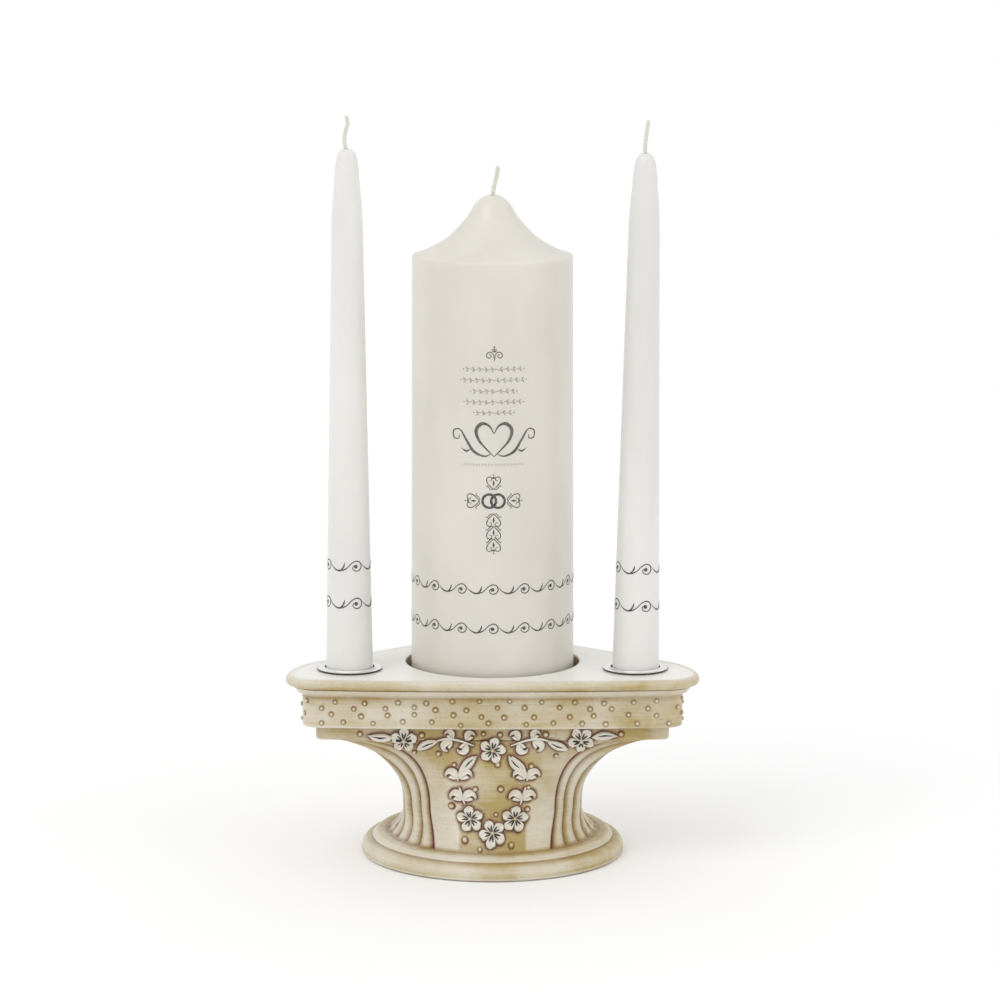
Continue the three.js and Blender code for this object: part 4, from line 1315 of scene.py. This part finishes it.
def print_ornament():
    """The grey ornament printed on the pillar and the running scrolls printed on all the candles."""
    shoulder = PILLAR_TIP - candle().pillar_crown

    def pillar_radius(z):
        return PILLAR_RADIUS - PILLAR_DRAFT * clamp((z - PILLAR_BASE - 1.2) / (shoulder - PILLAR_BASE - 2.8))

    def pillar_face(x, z, height):
        radius = pillar_radius(z)
        turn = x / radius
        return Vector(((radius + height) * math.sin(turn), -(radius + height) * math.cos(turn), z))

    bm = bmesh.new()
    finial(bm, 240.9, pillar_face)
    for z, width in ((234.6, 28.2), (229.6, 30.6), (224.5, 21.2), (219.5, 27.7), (214.6, 18.4)):
        vine_row(bm, z, width - 1.6, pillar_face, 1.1, 0.62)
    heart_flourish(bm, 202.4, pillar_face)
    vine_row(bm, 190.6, 28.0, pillar_face, 0.55, 0.36)
    filigree_cross(bm, 173.8, pillar_face)
    for z in (132.4, 114.0):
        running_scroll(bm, pillar_radius, z, pillar_face, 16, 1.0)
    make_piece("pillar_print", bm, finish_of("print"), "pillar")

    for side, body, heights in (
            ("left", "left_taper", (141.9, 124.5)), ("right", "right_taper", (140.5, 123.1))):
        base = TAPER_BASE
        neck = high(f"{side}_taper_wax").z - candle().taper_neck
        radius = (high(f"{side}_taper_wax").y - low(f"{side}_taper_wax").y) / 2

        def taper_radius(z):
            return mix(radius, radius - TAPER_DRAFT, clamp((z - base - 0.9) / (neck - base - 0.9)))

        def taper_face(x, z, height):
            here = taper_radius(z)
            turn = x / here + 0.35
            return Vector(((here + height) * math.sin(turn), -(here + height) * math.cos(turn), z))

        bm = bmesh.new()
        for z in heights:
            running_scroll(bm, taper_radius, z, taper_face, 4, TAU * taper_radius(z) / 4 / 14.9)
        tilt(bm, 0 if side == "left" else candle().taper_lean, base)
        centre = CUP_CENTRES[side]
        bmesh.ops.translate(bm, vec=(centre.x, centre.y, 0), verts=bm.verts)
        make_piece(f"{side}_taper_print", bm, finish_of("print"), body)


# ---- Stage -----------------------------------------------------------------------------------

def set_stage():
    """A pale floor, soft daylight and the camera."""
    scene = bpy.context.scene
    bm = bmesh.new()
    bmesh.ops.create_grid(bm, x_segments=1, y_segments=1, size=40)
    mesh = bpy.data.meshes.new("floor")
    bm.to_mesh(mesh)
    bm.free()
    floor = bpy.data.objects.new("floor", mesh)
    pale, _, _ = material("Pale floor", 0.9)
    pale.node_tree.nodes["Principled BSDF"].inputs["Base Color"].default_value = (0.97, 0.97, 0.97, 1)
    pale.node_tree.nodes["Principled BSDF"].inputs["Specular IOR Level"].default_value = 0.1
    mesh.materials.append(pale)
    scene.collection.objects.link(floor)

    world = bpy.data.worlds.new("Daylight tent")
    world.use_nodes = True
    world.node_tree.nodes["Background"].inputs["Color"].default_value = (1, 1, 1, 1)
    world.node_tree.nodes["Background"].inputs["Strength"].default_value = 0.86
    scene.world = world
    for name, turn, tilt_down, power, spread in (
            ("Key", -42, 48, 0.55, 34), ("Fill", 55, 30, 0.2, 60), ("Top", 170, 70, 0.12, 70)):
        light = bpy.data.lights.new(name, "SUN")
        light.energy = power
        light.angle = math.radians(spread)
        lamp = bpy.data.objects.new(name, light)
        lamp.rotation_euler = (math.radians(90 - tilt_down), 0, math.radians(turn))
        scene.collection.objects.link(lamp)

    lens = bpy.data.cameras.new("Camera")
    lens.lens = 148.46
    lens.shift_x = 0.0075
    lens.clip_end = 100
    camera = bpy.data.objects.new("Camera", lens)
    camera.location = (0, -1.9, 0.491)
    camera.rotation_euler = (math.radians(80.35), 0, 0)
    scene.collection.objects.link(camera)
    scene.camera = camera
    scene.view_settings.view_transform = "Standard"
    scene.view_settings.look = "None"


# ---- Add-on ----------------------------------------------------------------------------------

class Build(bpy.types.Operator):
    """What every step of the build shares."""

    bl_options = {"REGISTER", "UNDO"}


class UNITY_OT_pedestal(Build):
    """Mould the pedestal casting and its garland"""

    bl_idname = "unity.pedestal"
    bl_label = "Pedestal"

    def execute(self, context):
        mould_pedestal()
        return {"FINISHED"}


class UNITY_OT_tray(Build):
    """Mould the tray casting and its pearls"""

    bl_idname = "unity.tray"
    bl_label = "Tray"

    def execute(self, context):
        mould_tray()
        return {"FINISHED"}


class UNITY_OT_cups(Build):
    """Press the two taper cups"""

    bl_idname = "unity.cups"
    bl_label = "Cups"

    def execute(self, context):
        press_cups()
        return {"FINISHED"}


class UNITY_OT_pillar(Build):
    """Pour the pillar candle"""

    bl_idname = "unity.pillar"
    bl_label = "Pillar"

    def execute(self, context):
        pour_pillar()
        return {"FINISHED"}


class UNITY_OT_tapers(Build):
    """Dip the two taper candles"""

    bl_idname = "unity.tapers"
    bl_label = "Tapers"

    def execute(self, context):
        dip_tapers()
        return {"FINISHED"}


class UNITY_OT_wicks(Build):
    """Braid the three wicks"""

    bl_idname = "unity.wicks"
    bl_label = "Wicks"

    def execute(self, context):
        braid_wicks()
        return {"FINISHED"}


class UNITY_OT_print(Build):
    """Print the ornament on the candles"""

    bl_idname = "unity.print"
    bl_label = "Print"

    def execute(self, context):
        print_ornament()
        return {"FINISHED"}


class UNITY_OT_underside(Build):
    """Finish the felt disc and the wick's tin plate"""

    bl_idname = "unity.underside"
    bl_label = "Felt and wick plate"

    def execute(self, context):
        dress("base_felt", "felt")
        dress("pillar_wick_tab", "tin")
        return {"FINISHED"}


class UNITY_OT_stage(Build):
    """Set the floor, the light and the camera"""

    bl_idname = "unity.stage"
    bl_label = "Stage"

    def execute(self, context):
        set_stage()
        return {"FINISHED"}


STEPS = (
    UNITY_OT_pedestal, UNITY_OT_tray, UNITY_OT_cups, UNITY_OT_pillar, UNITY_OT_tapers, UNITY_OT_wicks,
    UNITY_OT_print, UNITY_OT_underside, UNITY_OT_stage,
)


class UNITY_PT_panel(bpy.types.Panel):
    """Lists the steps of the build and its settings"""

    bl_label = "Unity Candle"
    bl_space_type = "VIEW_3D"
    bl_region_type = "UI"
    bl_category = "Unity Candle"

    def draw(self, context):
        for step in STEPS:
            self.layout.operator(step.bl_idname)
        for group in (stand(), candle(), finish()):
            column = self.layout.column()
            for name in group.bl_rna.properties.keys():
                if name not in ("rna_type", "name"):
                    column.prop(group, name)


CLASSES = (StandSettings, CandleSettings, FinishSettings, *STEPS, UNITY_PT_panel)


def register():
    """Adds the classes and the scene's settings."""
    for made in CLASSES:
        bpy.utils.register_class(made)
    bpy.types.Scene.unity_stand = PointerProperty(type=StandSettings)
    bpy.types.Scene.unity_candle = PointerProperty(type=CandleSettings)
    bpy.types.Scene.unity_finish = PointerProperty(type=FinishSettings)


def unregister():
    """Removes them again."""
    del bpy.types.Scene.unity_finish
    del bpy.types.Scene.unity_candle
    del bpy.types.Scene.unity_stand
    for made in reversed(CLASSES):
        bpy.utils.unregister_class(made)


def main():
    """Registers the add-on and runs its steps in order."""
    register()
    bpy.ops.unity.pedestal()
    bpy.ops.unity.tray()
    bpy.ops.unity.cups()
    bpy.ops.unity.pillar()
    bpy.ops.unity.tapers()
    bpy.ops.unity.wicks()
    bpy.ops.unity.print()
    bpy.ops.unity.underside()
    bpy.ops.unity.stage()
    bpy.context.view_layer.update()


if __name__ == "__main__":
    main()
